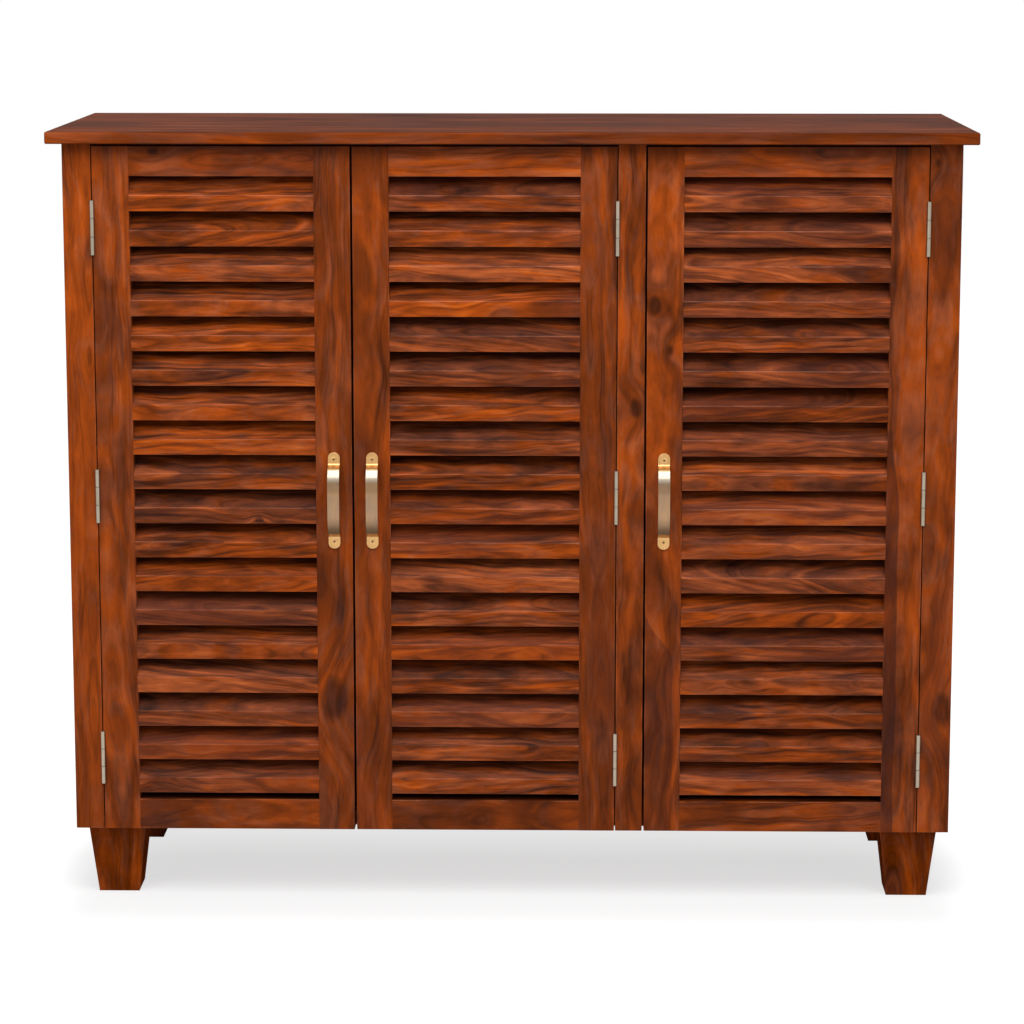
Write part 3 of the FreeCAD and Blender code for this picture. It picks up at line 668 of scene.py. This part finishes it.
def smooth(piece, angle=35.0):
    """Shades curves smooth and keeps flat faces flat."""
    pick(piece)
    bpy.ops.object.shade_smooth_by_angle(angle=math.radians(angle))
    modifier = piece.modifiers.new("flat faces", "WEIGHTED_NORMAL")
    modifier.keep_sharp = True
    bpy.ops.object.modifier_apply(modifier=modifier.name)


def settle(piece, material, body, slot, *nodes):
    """Gives a finished piece its material and its body, and hides the CAD nodes it stands for. The
    slot is not used.
    """
    piece.data.materials.clear()
    piece.data.materials.append(material)
    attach(piece, body)
    if nodes:
        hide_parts(*nodes)
    return piece


def on_planes(low, high):
    """A test for edges that lie on two sides of the box from low to high."""

    def lies(first, second):
        sides = 0
        for axis in range(3):
            for side in (low[axis], high[axis]):
                sides += all(abs(end[axis] - side) < ON_PLANE for end in (first, second))
        return sides >= 2

    return lies


def middle_of(node):
    low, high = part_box(node)
    return (low + high) / 2


def paint_node(node, material):
    """A carried-over CAD node keeps its mesh and gets a better material."""
    target = frame["nodes"][node]
    for slot in target.material_slots:
        slot.material = material
    if not target.material_slots:
        raise RuntimeError(f"{node} has no material slot")


def cut_across(piece, height):
    """A ring of edges round an upright board, for an arris to stop at."""
    edit_all(piece)
    bpy.ops.mesh.bisect(plane_co=(0.0, 0.0, height), plane_no=(0.0, 0.0, 1.0))
    leave_edit()


def inner_side(box, slats):
    """Where a stile ends beside the slats."""
    low, high = box
    return high.x if abs(high.x - slats[0].x) < abs(low.x - slats[1].x) else low.x


def close_housings(piece, box, inner):
    """Takes a stile's inner side off with its slat housings, and draws it out again plain."""
    outwards = 1.0 if inner == box[1].x else -1.0
    cut = inner - outwards * HOUSING
    edit_all(piece)
    bpy.ops.mesh.bisect(
        plane_co=(cut, 0.0, 0.0),
        plane_no=(outwards, 0.0, 0.0),
        use_fill=True,
        clear_outer=True,
        threshold=0.000001,
    )
    leave_edit()
    mark(piece, "FACE", lambda face: abs(face.center.x - cut) < SAME)
    enter_edit()
    draw_out((inner - cut, 0.0, 0.0))
    bpy.ops.mesh.select_all(action="SELECT")
    merge_flat()
    bpy.ops.mesh.normals_make_consistent(inside=False)
    leave_edit()


def stile_arrises(box, inner, opening):
    """A test for a stile's arrises: every long one, but by the slats only between the rails."""
    outer = on_planes(*box)

    def lies(first, second):
        if not outer(first, second):
            return False
        if any(abs(end.x - inner) > NEAR for end in (first, second)):
            return True
        if abs(first.x - second.x) > NEAR or abs(first.y - second.y) > NEAR:
            return False
        low, high = sorted((first.z, second.z))
        return low > opening[0] - NEAR and high < opening[1] + NEAR

    return lies


def slat_arrises(front):
    """A test for the long arrises on the slats' fronts."""

    def lies(first, second):
        on_front = all(abs(end.y - front) < ON_PLANE for end in (first, second))
        return on_front and abs(first.x - second.x) > 0.05

    return lies


def foot_arrises(top):
    """A test for a foot's long arrises, but for those round its top."""

    def lies(first, second):
        return (first - second).length > 0.03 and min(first.z, second.z) < top - 0.001

    return lies


def at_height(height):
    """A test for edges that lie at one height."""

    def lies(first, second):
        return all(abs(end.z - height) < SAME for end in (first, second))

    return lies


def ring_edges(axes, radius):
    """A test for the rims where hinge knuckles meet."""

    def lies(first, second):
        if abs(first.z - second.z) > SAME:
            return False
        for x, y in axes:
            reach = [math.hypot(end.x - x, end.y - y) for end in (first, second)]
            if all(abs(r - radius) < ON_RIM for r in reach):
                return True
        return False

    return lies


def draw_in(piece, side, step):
    """Moves the slat ends at one side, so that they stop at the stile."""
    mark(piece, "VERT", lambda vertex: abs(vertex.co.x - side) < NEAR)
    enter_edit()
    bpy.ops.transform.translate(value=(step, 0.0, 0.0))
    leave_edit()


def box_of(points):
    """The low and high corners of the box round these points."""
    return Vector(map(min, zip(*points))), Vector(map(max, zip(*points)))


def mark_boards(piece):
    """Writes each loose board's middle on its faces, and marks the front faces to be painted
    lighter.
    """
    mesh = piece.data
    leader = list(range(len(mesh.vertices)))

    def root(i):
        while leader[i] != i:
            leader[i] = leader[leader[i]]
            i = leader[i]
        return i

    for edge in mesh.edges:
        a, b = (root(i) for i in edge.vertices)
        leader[a] = b
    boards = {}
    for vertex in mesh.vertices:
        boards.setdefault(root(vertex.index), []).append(vertex.co)
    middles = {}
    for key, points in boards.items():
        low, high = box_of(points)
        middles[key] = (low + high) / 2
    layer = mesh.attributes.new("board_place", "FLOAT_VECTOR", "FACE")
    for face in mesh.polygons:
        layer.data[face.index].vector = middles[root(face.vertices[0])]
    # Painted light: the slats' front faces are marked to be made lighter than their slopes.
    fronts = [face.index for face in mesh.polygons if face.normal.y < -0.9]
    face_attribute(piece, "edge_grain", fronts)


def loose_boxes(node):
    """The box of each separate solid in a CAD node."""
    edit_all(copy_of(node, f"{node}_measured"))
    bpy.ops.mesh.separate(type="LOOSE")
    leave_edit()
    boxes = []
    for part in list(bpy.context.selected_objects):
        boxes.append(box_of([vertex.co for vertex in part.data.vertices]))
        bpy.data.objects.remove(part)
    return sorted(boxes, key=lambda box: tuple(round(x, 5) for x in box[0]))


def place_copy(pattern, name, place):
    """A copy of a modelled piece with its own mesh."""
    pick(pattern)
    bpy.ops.object.duplicate()
    piece = bpy.context.active_object
    piece.name = name
    piece.location = place
    bpy.ops.object.transform_apply(location=True, rotation=True, scale=True)
    return piece


def joined(pieces, name):
    """One object from several."""
    pick(*pieces)
    bpy.ops.object.join()
    piece = bpy.context.active_object
    piece.name = name
    return piece


def model_screw(name, head, crown, shank, length):
    """A round-headed screw with a cross recess. Its head faces -Y and sits on y = 0."""
    rim = crown * 0.4
    arm = head * 0.15
    recess_depth = crown * 0.8

    def on_crown(face):
        return face.normal.y < -0.999 and face.center.y < -crown * 0.9

    bpy.ops.object.select_all(action="DESELECT")
    bpy.ops.mesh.primitive_cylinder_add(
        vertices=32,
        radius=head,
        depth=rim,
        location=(0.0, -rim / 2, 0.0),
        rotation=(QUARTER_TURN, 0.0, 0.0),
    )
    screw = bpy.context.active_object
    screw.name = name
    bpy.ops.object.transform_apply(location=True, rotation=True, scale=True)
    for inwards, rise in ((0.12, 0.25), (0.16, 0.20), (0.22, 0.15)):
        mark(screw, "FACE", lambda face: face.normal.y < -0.99)
        enter_edit()
        bpy.ops.mesh.inset(thickness=head * inwards)
        bpy.ops.transform.translate(value=(0.0, -crown * rise, 0.0))
        leave_edit()
    mark(screw, "FACE", lambda face: face.normal.y > 0.99)
    enter_edit()
    bpy.ops.mesh.inset(thickness=head - shank)
    draw_out((0.0, length, 0.0))
    leave_edit()
    for normal in ((1.0, 0.0, 0.0), (0.0, 0.0, 1.0)):
        for side in (-arm, arm):
            mark(screw, "FACE", on_crown)
            enter_edit()
            bpy.ops.mesh.bisect(plane_co=[side * x for x in normal], plane_no=normal)
            leave_edit()
    mark(
        screw,
        "FACE",
        lambda face: on_crown(face) and min(abs(face.center.x), abs(face.center.z)) < arm,
    )
    enter_edit()
    draw_out((0.0, recess_depth, 0.0))
    leave_edit()
    recess = [
        face.index
        for face in screw.data.polygons
        if math.hypot(face.center.x, face.center.z) < head * 0.49
        and -crown * 0.97 < face.center.y < -SAME
    ]
    # Painted shade: the cross recess is marked to be darkened.
    face_attribute(screw, "recess", recess)
    smooth(screw)
    return screw


def model_handle(name, width, tab, reach, length, bar, thickness):
    """A bent strap handle standing upright at the origin, its tabs on y = 0."""
    bpy.ops.object.select_all(action="DESELECT")
    end = length / 2
    bpy.ops.mesh.primitive_plane_add(
        size=1.0, location=(0.0, 0.0, end - tab / 2), rotation=(QUARTER_TURN, 0.0, 0.0)
    )
    strap = bpy.context.active_object
    strap.name = name
    strap.scale = (width, tab, 1.0)
    bpy.ops.object.transform_apply(location=True, rotation=True, scale=True)
    # How far the bow stands out, how far a shoulder stands out and runs, and how far past the
    # bar's end the knee lies.
    bow = 0.0016
    shoulder = (0.0058, 0.0104)
    past_bar = 0.0015
    leg = (reach - thickness - bow - shoulder[0], end - tab - bar / 2 - past_bar)
    knee = end - tab - leg[1]
    brow = knee - shoulder[1]
    runs = (
        (-leg[0], -leg[1]),
        (-shoulder[0], -shoulder[1]),
        (-bow, -brow),
        (bow, -brow),
        (shoulder[0], -shoulder[1]),
        (leg[0], -leg[1]),
        (0.0, -tab),
    )
    low = end - tab
    for step_out, step_down in runs:
        mark_edges(strap, at_height(low))
        enter_edit()
        draw_out((0.0, step_out, step_down))
        leave_edit()
        low += step_down
    # Each fold's height, how far its bend reaches and in how many steps.
    folds = (
        (end - tab, 0.0035, 6),
        (knee, 0.0030, 6),
        (brow, 0.0036, 6),
        (0.0, 0.0200, 10),
        (-brow, 0.0036, 6),
        (-knee, 0.0030, 6),
        (tab - end, 0.0035, 6),
    )
    for height, offset, segments in folds:
        mark_edges(strap, at_height(height))
        enter_edit()
        bpy.ops.mesh.bevel(offset=offset, segments=segments, affect="EDGES", clamp_overlap=False)
        leave_edit()
    mark(strap, "VERT", lambda vertex: abs(vertex.co.z) > end - SAME)
    enter_edit()
    bpy.ops.mesh.bevel(offset=width * 0.47, segments=8, affect="VERTICES")
    bpy.ops.mesh.select_all(action="SELECT")
    bpy.ops.mesh.normals_make_consistent(inside=False)
    leave_edit()
    if sum(face.normal.y for face in strap.data.polygons) > 0:
        enter_edit()
        bpy.ops.mesh.flip_normals()
        leave_edit()
    sheet = strap.modifiers.new("strap", "SOLIDIFY")
    sheet.thickness = thickness
    sheet.offset = 1.0
    sheet.use_even_offset = True
    bpy.ops.object.modifier_apply(modifier=sheet.name)
    rounding = strap.modifiers.new("rounding", "BEVEL")
    rounding.width = 0.0005
    rounding.segments = 3
    rounding.angle_limit = math.radians(50)
    bpy.ops.object.modifier_apply(modifier=rounding.name)
    smooth(strap, 50.0)
    return strap


# ---------------------------------------------------------------------------
# Settings
# ---------------------------------------------------------------------------


def colour_property(name, description, default):
    return FloatVectorProperty(
        name=name,
        description=description,
        subtype="COLOR",
        size=3,
        min=0.0,
        max=1.0,
        default=default,
    )


def length_property(name, description, default, **limits):
    return FloatProperty(
        name=name,
        description=description,
        subtype="DISTANCE",
        unit="LENGTH",
        default=default,
        **limits,
    )


def share_property(name, description, default):
    """A setting from 0 to 1."""
    return FloatProperty(name=name, description=description, default=default, min=0.0, max=1.0)


def power_property(name, description, default):
    return FloatProperty(name=name, description=description, unit="POWER", default=default)


class CABINET_PG_wood(PropertyGroup):
    darkest: colour_property(
        "Darkest Streak", "Colour of the darkest streaks and pores", (0.028, 0.0075, 0.004)
    )
    heart: colour_property(
        "Heartwood", "Colour of the dark heartwood bands", (0.085, 0.0205, 0.0080)
    )
    brown: colour_property("Brown", "Colour between heartwood and body", (0.165, 0.0385, 0.0125))
    body: colour_property("Body", "Main colour of the stained wood", (0.255, 0.0575, 0.0165))
    bright: colour_property(
        "Bright Streak", "Colour of the orange streaks", (0.385, 0.0860, 0.0215)
    )
    amber: colour_property("Amber", "Colour of the lightest streaks", (0.580, 0.1550, 0.0400))
    plum: colour_property("Plum", "Colour of the purple-brown patches", (0.110, 0.024, 0.012))
    orange_tint: colour_property(
        "Orange Tint",
        "Stain over the orange parts, which leaves the rosy parts as they are",
        (1.0, 0.75, 0.20),
    )
    # Partly a worn arris and partly a painted highlight along the arrises.
    worn: colour_property("Worn Arris", "Colour of the rubbed arrises", (0.480, 0.150, 0.060))
    arris: length_property(
        "Arris", "Width of the rounding on the boards' arrises", 0.0008, min=0.0002, max=0.003
    )
    roughness: share_property("Roughness", "Roughness under the lacquer", 0.46)
    specular: share_property("Specular", "Specular level of the wood", 0.06)
    coat: share_property("Lacquer", "Weight of the lacquer on the arrises", 0.14)
    coat_roughness: share_property("Lacquer Roughness", "Roughness of the lacquer", 0.22)


class CABINET_PG_metal(PropertyGroup):
    brass: colour_property("Brass", "Colour of the handle tabs and screws", (0.56, 0.325, 0.130))
    dull_brass: colour_property("Dull Brass", "Colour of tarnished brass", (0.45, 0.240, 0.080))
    # Painted highlight: the pale colour painted on each bar's upper shoulder.
    painted_highlight: colour_property("Polished", "Colour where hands polish a bar", (0.33, 0.27, 0.20))
    champagne: colour_property(
        "Champagne", "Colour of the rubbed handle bars", (0.285, 0.177, 0.108)
    )
    # Painted shade: the dark colour that a bar is darkened to under its highlight and towards its
    # lower end.
    tarnish_and_shade: colour_property(
        "Tarnish", "Colour of the dull stretches of a bar", (0.085, 0.050, 0.026)
    )
    nickel: colour_property("Nickel", "Colour of the hinges", (0.35, 0.295, 0.225))
    dull_nickel: colour_property("Dull Nickel", "Colour of tarnished nickel", (0.26, 0.21, 0.15))
    steel: colour_property("Steel", "Colour of bolts, plates and catches", (0.42, 0.42, 0.43))
    dull_steel: colour_property("Dull Steel", "Colour of worn steel", (0.25, 0.25, 0.26))
    tab: length_property("Tab", "Length of a handle's tab", 0.0157)
    bar: length_property("Bar", "Length of a handle's bar", 0.071)
    strap: length_property("Strap", "Thickness of a handle's strap", 0.0022)
    knuckle: length_property("Knuckle", "Radius of the hinge knuckles", 0.0025)


class CABINET_PG_stage(PropertyGroup):
    lens: FloatProperty(
        name="Lens",
        description="Focal length of the camera",
        subtype="DISTANCE_CAMERA",
        default=110.3,
    )
    key: power_property("Key Lights", "Power of each light high on either side", 21.5)
    top_light: power_property("Top Light", "Power of the light high in the middle", 22.0)
    fill: power_property("Fill Lights", "Power of each low light to the sides", 12.0)
    room: FloatProperty(
        name="Room Light", description="Strength of the plain room light", default=0.27, min=0.0
    )


# ---------------------------------------------------------------------------
# Pieces
# ---------------------------------------------------------------------------


class CABINET_OT_top(Operator):
    """Finish the overhanging top"""

    bl_idname = "cabinet.top"
    bl_label = "Top"

    def execute(self, context):
        look = context.scene.cabinet_wood
        piece = copy_of("top_panel", "top_dressed")
        # Painted light: the top's sides are marked to be made lighter than its faces.
        sides = [face.index for face in piece.data.polygons if abs(face.normal.z) < 0.7]
        face_attribute(piece, "edge_grain", sides)
        smooth(piece, 30.0)
        finish = sheesham(
            "top_wood",
            look,
            middle_of("top_panel"),
            "X",
            seed=11,
            lane=0.095,
            flat=True,
            run=0.6,
            flame=0.16,
            waves=2.2,
            slope=0.04,
            roughness=0.78,
            tone=-0.21,
            edge_tone=0.17,
            plum=0.8,
            contrast=1.4,
            specular=0.05,
        )
        settle(piece, finish, body_of("top_panel"), "wood_top", "top_panel")
        return {"FINISHED"}


class CABINET_OT_carcass(Operator):
    """Finish the face stiles and the side panels"""

    bl_idname = "cabinet.carcass"
    bl_label = "Face Stiles and Sides"

    def execute(self, context):
        look = context.scene.cabinet_wood
        for i, node in enumerate(FACE_STILES + SIDE_PANELS):
            piece = copy_of(node, f"{node}_dressed")
            soften(piece, on_planes(*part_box(node)), look.arris * 0.8)
            smooth(piece)
            wide = node in SIDE_PANELS
            usual = {"seed": 21 + i, "waves": 2.0, "slope": 0.05, "flat": wide}
            if wide:
                usual |= {"lane": 0.085, "run": 0.28, "flame": 0.12, "off_centre": 0.17}
                usual |= {"contrast": 1.25, "pith": 0.05, "ripple": 0.009, "rings": 0.10}
                usual |= {"specular": 0.02, "rosy": -0.11, "plum": 0.15, "tone": -0.01}
            finish = board_wood(node, look, "Z", usual)
            settle(piece, finish, body_of(node), "wood_frame", node)
        return {"FINISHED"}


class CABINET_OT_door_frames(Operator):
    """Finish the stiles and rails of the doors"""

    bl_idname = "cabinet.door_frames"
    bl_label = "Door Frames"

    def execute(self, context):
        look = context.scene.cabinet_wood
        for i, door in enumerate(DOORS):
            for j, part in enumerate(("hinge_stile", "lock_stile")):
                node = f"{door}_{part}"
                piece = copy_of(node, f"{node}_dressed")
                opening = (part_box(f"{door}_bottom_rail")[1].z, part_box(f"{door}_top_rail")[0].z)
                inner = inner_side(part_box(node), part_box(f"{door}_slats"))
                close_housings(piece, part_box(node), inner)
                for height in opening:
                    cut_across(piece, height)
                soften(piece, stile_arrises(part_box(node), inner, opening), look.arris)
                smooth(piece)
                usual = {"seed": 41 + 10 * i + j, "waves": 2.4, "slope": 0.07}
                finish = board_wood(node, look, "Z", usual)
                settle(piece, finish, body_of(node), "wood_frame", node)
            for j, part in enumerate(RAILS):
                node = f"{door}_{part}"
                piece = copy_of(node, f"{node}_dressed")
                soften(piece, on_planes(*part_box(node)), look.arris * 0.8)
                smooth(piece)
                usual = {"seed": 45 + 10 * i + j, "waves": 4.0, "slope": 0.12}
                finish = board_wood(node, look, "X", usual)
                settle(piece, finish, body_of(node), "wood_frame", node)
        return {"FINISHED"}


class CABINET_OT_slats(Operator):
    """Finish the louvre slats"""

    bl_idname = "cabinet.slats"
    bl_label = "Slats"

    def execute(self, context):
        look = context.scene.cabinet_wood
        finish = sheesham(
            "slat_wood",
            look,
            seed=77,
            tone=-0.10,
            # Painted light: the slats' fronts are made lighter than their slopes.
            edge_tone=0.13,
            board_tone=0.24,
            board_hue=0.24,
            waves=4.0,
            slope=0.25,
            contrast=2.6,
            crisp=0.60,
            fine=1.9,
            rosy=0.0,
            plum=0.45,
            wear=0.16,
            rings=0.11,
            knots=SLAT_KNOTS,
            knot_stretch=0.8,
        )
        for door in DOORS:
            node = f"{door}_slats"
            piece = copy_of(node, f"{node}_dressed")
            low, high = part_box(node)
            draw_in(piece, low.x, SLAT_BITE)
            draw_in(piece, high.x, -SLAT_BITE)
            soften(piece, slat_arrises(low.y), look.arris)
            mark_boards(piece)
            smooth(piece)
            settle(piece, finish, body_of(node), "wood_slats", node)
        return {"FINISHED"}


class CABINET_OT_feet(Operator):
    """Finish the tapered feet"""

    bl_idname = "cabinet.feet"
    bl_label = "Feet"

    def execute(self, context):
        look = context.scene.cabinet_wood
        for i, node in enumerate(FEET):
            piece = copy_of(node, f"{node}_dressed")
            soften(piece, foot_arrises(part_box(node)[1].z), look.arris * 1.3)
            smooth(piece)
            usual = {"seed": 90 + i, "tone": -0.065, "waves": 4.0, "rosy": -0.06, "plum": 0.15}
            usual["specular"] = 0.0
            finish = board_wood(node, look, "Z", usual)
            settle(piece, finish, body_of(node), "wood_frame", node)
        return {"FINISHED"}


class CABINET_OT_inside(Operator):
    """Finish the boards inside and behind"""

    bl_idname = "cabinet.inside"
    bl_label = "Inside Boards and Back"

    def execute(self, context):
        look = context.scene.cabinet_wood
        grains = {
            "bottom_board": "X",
            "top_front_rail": "X",
            "top_back_rail": "X",
            "partition": "Z",
            "shelf_left_lower": "X",
            "shelf_left_upper": "X",
            "shelf_right_lower": "X",
            "shelf_right_upper": "X",
            "shelf_cleats_left": "Y",
            "shelf_cleats_right": "Y",
            "back_panel": "Z",
        }
        for i, (node, grain) in enumerate(grains.items()):
            usual = {"seed": 110 + i, "waves": 1.8, "slope": 0.05, "pith": 0.08}
            paint_node(node, board_wood(node, look, grain, usual))
        return {"FINISHED"}


class CABINET_OT_handles(Operator):
    """Bend the strap handles and turn their screws"""

    bl_idname = "cabinet.handles"
    bl_label = "Handles"

    def execute(self, context):
        look = context.scene.cabinet_metal
        brass = handle_metal(look)
        screw_brass = brushed_metal(
            "screw_brass", look.brass, look.dull_brass, roughness=0.30, seed=9.0
        )
        low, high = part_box("left_door_handle")
        strap = model_handle(
            "handle_pattern",
            high.x - low.x,
            look.tab,
            high.y - low.y,
            high.z - low.z,
            look.bar,
            look.strap,
        )
        low, high = loose_boxes("left_door_handle_screws")[0]
        screw = model_screw(
            "handle_screw_pattern", (high.x - low.x) / 2, crown=0.0007, shank=0.0014, length=0.012
        )
        for door in DOORS:
            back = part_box(f"{door}_handle")[1].y
            middle = middle_of(f"{door}_handle")
            piece = place_copy(strap, f"{door}_handle_strap", (middle.x, back, middle.z))
            settle(piece, brass, door, "satin_brass", f"{door}_handle")
            screws = []
            for low, high in loose_boxes(f"{door}_handle_screws"):
                middle = (low + high) / 2
                place = (middle.x, back - look.strap, middle.z)
                screws.append(place_copy(screw, "screw", place))
            piece = joined(screws, f"{door}_handle_screw_heads")
            settle(piece, screw_brass, door, "brass_screw", f"{door}_handle_screws")
        bpy.data.objects.remove(strap)
        bpy.data.objects.remove(screw)
        return {"FINISHED"}


class CABINET_OT_hinges(Operator):
    """Round the hinge knuckles and finish leaves and pins"""

    bl_idname = "cabinet.hinges"
    bl_label = "Hinges"

    def execute(self, context):
        look = context.scene.cabinet_metal
        nickel = brushed_metal(
            "satin_nickel_finish", look.nickel, look.dull_nickel, roughness=0.36, seed=3.0
        )
        pins = [(low + high) / 2 for low, high in loose_boxes("hinge_pins")]
        axes = {(round(pin.x, 5), round(pin.y, 5)) for pin in pins}
        for node in list(frame["nodes"]):
            if node.endswith("_leaves"):
                piece = copy_of(node, f"{node}_dressed")
                soften(piece, ring_edges(axes, look.knuckle), width=0.00045, segments=2)
                # Painted shade: the seams between the knuckles are marked to be darkened part way.
                face_attribute(piece, "recess", marked_faces(piece), 0.6)
                smooth(piece, 40.0)
                settle(piece, nickel, body_of(node), "satin_nickel", node)
            elif node == "hinge_pins":
                paint_node(node, nickel)
        return {"FINISHED"}


class CABINET_OT_fixings(Operator):
    """Finish the hidden screws, bolts and catches"""

    bl_idname = "cabinet.fixings"
    bl_label = "Fixings"

    def execute(self, context):
        look = context.scene.cabinet_metal
        brass = brushed_metal(
            "fixing_brass", look.brass, look.dull_brass, roughness=0.36, seed=5.0
        )
        steel = brushed_metal(
            "steel_finish", look.steel, look.dull_steel, roughness=0.42, seed=7.0
        )
        for node in frame["nodes"]:
            if node.endswith("_screws") and "handle" not in node:
                paint_node(node, brass)
            elif node in ("foot_bolts", "door_magnets") or node.endswith("_strike_plate"):
                paint_node(node, steel)
        return {"FINISHED"}


# ---------------------------------------------------------------------------
# Stage
# ---------------------------------------------------------------------------

CAMERA_PLACE = (0.070, -3.7705, 1.141)
CAMERA_PITCH = math.radians(90.0 - 9.14)
CAMERA_YAW = math.radians(1.1)
CAMERA_SHIFT = -0.075

# Each light's name, the setting of its power, its size, its place and what it aims at.
LIGHTS = (
    ("key_light_left", "key", (1.3, 1.6), (-1.15, -1.40, 2.15), (-0.1, -0.17, 0.62)),
    ("fill_light_left", "fill", (1.6, 1.6), (-2.6, -2.90, 1.60), (0.0, -0.17, 0.50)),
    ("key_light_right", "key", (1.3, 1.6), (1.15, -1.40, 2.15), (0.1, -0.17, 0.62)),
    ("fill_light_right", "fill", (1.6, 1.6), (2.6, -2.90, 1.60), (0.0, -0.17, 0.50)),
    ("top_light", "top_light", (1.0, 1.4), (0.0, -1.40, 2.25), (0.0, -0.17, 0.62)),
)

# The floor shows white but for a painted shadow under the cabinet, painted into its glow. The
# painted shadow reaches so far from the middle to the sides and to the front and back, and fades
# out over so much more. The glow is lowest in the painted shadow, gains so much beyond it, and
# gains more for each metre towards the back as painted light.
SHADE_REACH = (0.49, 0.19)
SHADE_FADE = (0.12, 0.22)
SHADE_GLOW = 0.66
GLOW_BEYOND = 0.33
GLOW_BEHIND = 0.8


class CABINET_OT_stage(Operator):
    """Lay the pale floor, hang the soft lights and set up the camera"""

    bl_idname = "cabinet.stage"
    bl_label = "Stage"

    def execute(self, context):
        settings = context.scene.cabinet_stage
        context.scene.view_settings.view_transform = "Standard"
        self.lay_floor()
        self.light_room(context, settings.room)
        for name, power, size, place, aim in LIGHTS:
            self.hang_light(name, getattr(settings, power), size, place, aim)
        data = bpy.data.cameras.new("camera")
        data.sensor_width = 36.0
        data.lens = settings.lens
        data.shift_y = CAMERA_SHIFT
        data.clip_end = 60.0
        camera = bpy.data.objects.new("camera", data)
        context.scene.collection.objects.link(camera)
        camera.location = CAMERA_PLACE
        camera.rotation_euler = (CAMERA_PITCH, 0.0, CAMERA_YAW)
        context.scene.camera = camera
        return {"FINISHED"}

    def lay_floor(self):
        bpy.ops.object.select_all(action="DESELECT")
        bpy.ops.mesh.primitive_circle_add(vertices=96, radius=9.0, fill_type="NGON")
        floor = bpy.context.active_object
        floor.name = "floor"
        finish = Finish(bpy.data.materials.new("floor_paper"))
        seen, glossy, through = finish.rays()
        place = finish.place()
        x, y, _ = finish.split(place)
        # Painted shadow round the cabinet and painted light towards the back, in the floor's glow.
        beside = (x.size() - SHADE_REACH[0]).at_least(0.0) / SHADE_FADE[0]
        before = (y.size() - SHADE_REACH[1]).at_least(0.0) / SHADE_FADE[1]
        away = (beside * beside + before * before) ** 0.5
        behind = y.at_least(0.0) * GLOW_BEHIND
        white = (finish.band(away, 0.0, 1.0) * GLOW_BEYOND + SHADE_GLOW + behind).clamped()
        glow = (seen + glossy + through).clamped() * white
        mottle = finish.noise(place, scale=3.0)
        paper = finish.blend(mottle, (0.54, 0.54, 0.54), (0.58, 0.58, 0.58))
        paper = finish.blend(seen, paper, (0.30, 0.30, 0.30))
        finish.close(
            {
                "Base Color": paper,
                "Roughness": 0.9,
                "Specular IOR Level": 0.0,
                "Emission Color": finish.blend(glow, (0.0, 0.0, 0.0), (1.0, 1.0, 1.0)),
                "Emission Strength": 1.0,
            }
        )
        floor.data.materials.append(finish.owner)

    def light_room(self, context, strength):
        context.scene.world = bpy.data.worlds.new("room")
        room = Finish(context.scene.world)
        seen, glossy, through = room.rays()
        shown = (seen + glossy + through).clamped()
        white = (1.0, 1.0, 1.0)
        soft = room.add("ShaderNodeBackground", None, {"Color": white, "Strength": strength})
        bright = room.add("ShaderNodeBackground", None, {"Color": white, "Strength": 1.0})
        mixed = room.add("ShaderNodeMixShader", None, {0: shown, 1: soft, 2: bright})
        room.add("ShaderNodeOutputWorld", None, {"Surface": mixed}, None)

    def hang_light(self, name, power, size, place, aim):
        data = bpy.data.lights.new(name, "AREA")
        data.shape = "RECTANGLE"
        data.size, data.size_y = size
        data.energy = power
        light = bpy.data.objects.new(name, data)
        bpy.context.scene.collection.objects.link(light)
        light.location = place
        light.rotation_euler = (Vector(aim) - Vector(place)).to_track_quat("-Z", "Y").to_euler()


# ---------------------------------------------------------------------------
# Add-on
# ---------------------------------------------------------------------------

PIECES = (
    CABINET_OT_top,
    CABINET_OT_carcass,
    CABINET_OT_door_frames,
    CABINET_OT_slats,
    CABINET_OT_feet,
    CABINET_OT_inside,
    CABINET_OT_handles,
    CABINET_OT_hinges,
    CABINET_OT_fixings,
    CABINET_OT_stage,
)


class CABINET_PT_panel(Panel):
    """Settings and steps of the louvred cabinet"""

    bl_idname = "CABINET_PT_panel"
    bl_label = "Louvred Cabinet"
    bl_space_type = "VIEW_3D"
    bl_region_type = "UI"
    bl_category = "Cabinet"

    def draw(self, context):
        scene = context.scene
        for group in (scene.cabinet_wood, scene.cabinet_metal, scene.cabinet_stage):
            box = self.layout.box()
            for name in group.bl_rna.properties.keys():
                if name not in ("rna_type", "name"):
                    box.prop(group, name)
        for piece in PIECES:
            self.layout.operator(piece.bl_idname)


CLASSES = (CABINET_PG_wood, CABINET_PG_metal, CABINET_PG_stage, *PIECES, CABINET_PT_panel)


def register():
    for cls in CLASSES:
        bpy.utils.register_class(cls)
    bpy.types.Scene.cabinet_wood = PointerProperty(type=CABINET_PG_wood)
    bpy.types.Scene.cabinet_metal = PointerProperty(type=CABINET_PG_metal)
    bpy.types.Scene.cabinet_stage = PointerProperty(type=CABINET_PG_stage)


def unregister():
    del bpy.types.Scene.cabinet_stage
    del bpy.types.Scene.cabinet_metal
    del bpy.types.Scene.cabinet_wood
    for cls in reversed(CLASSES):
        bpy.utils.unregister_class(cls)


def main():
    register()
    bpy.ops.cabinet.top()
    bpy.ops.cabinet.carcass()
    bpy.ops.cabinet.door_frames()
    bpy.ops.cabinet.slats()
    bpy.ops.cabinet.feet()
    bpy.ops.cabinet.inside()
    bpy.ops.cabinet.handles()
    bpy.ops.cabinet.hinges()
    bpy.ops.cabinet.fixings()
    bpy.ops.cabinet.stage()


if __name__ == "__main__":
    main()
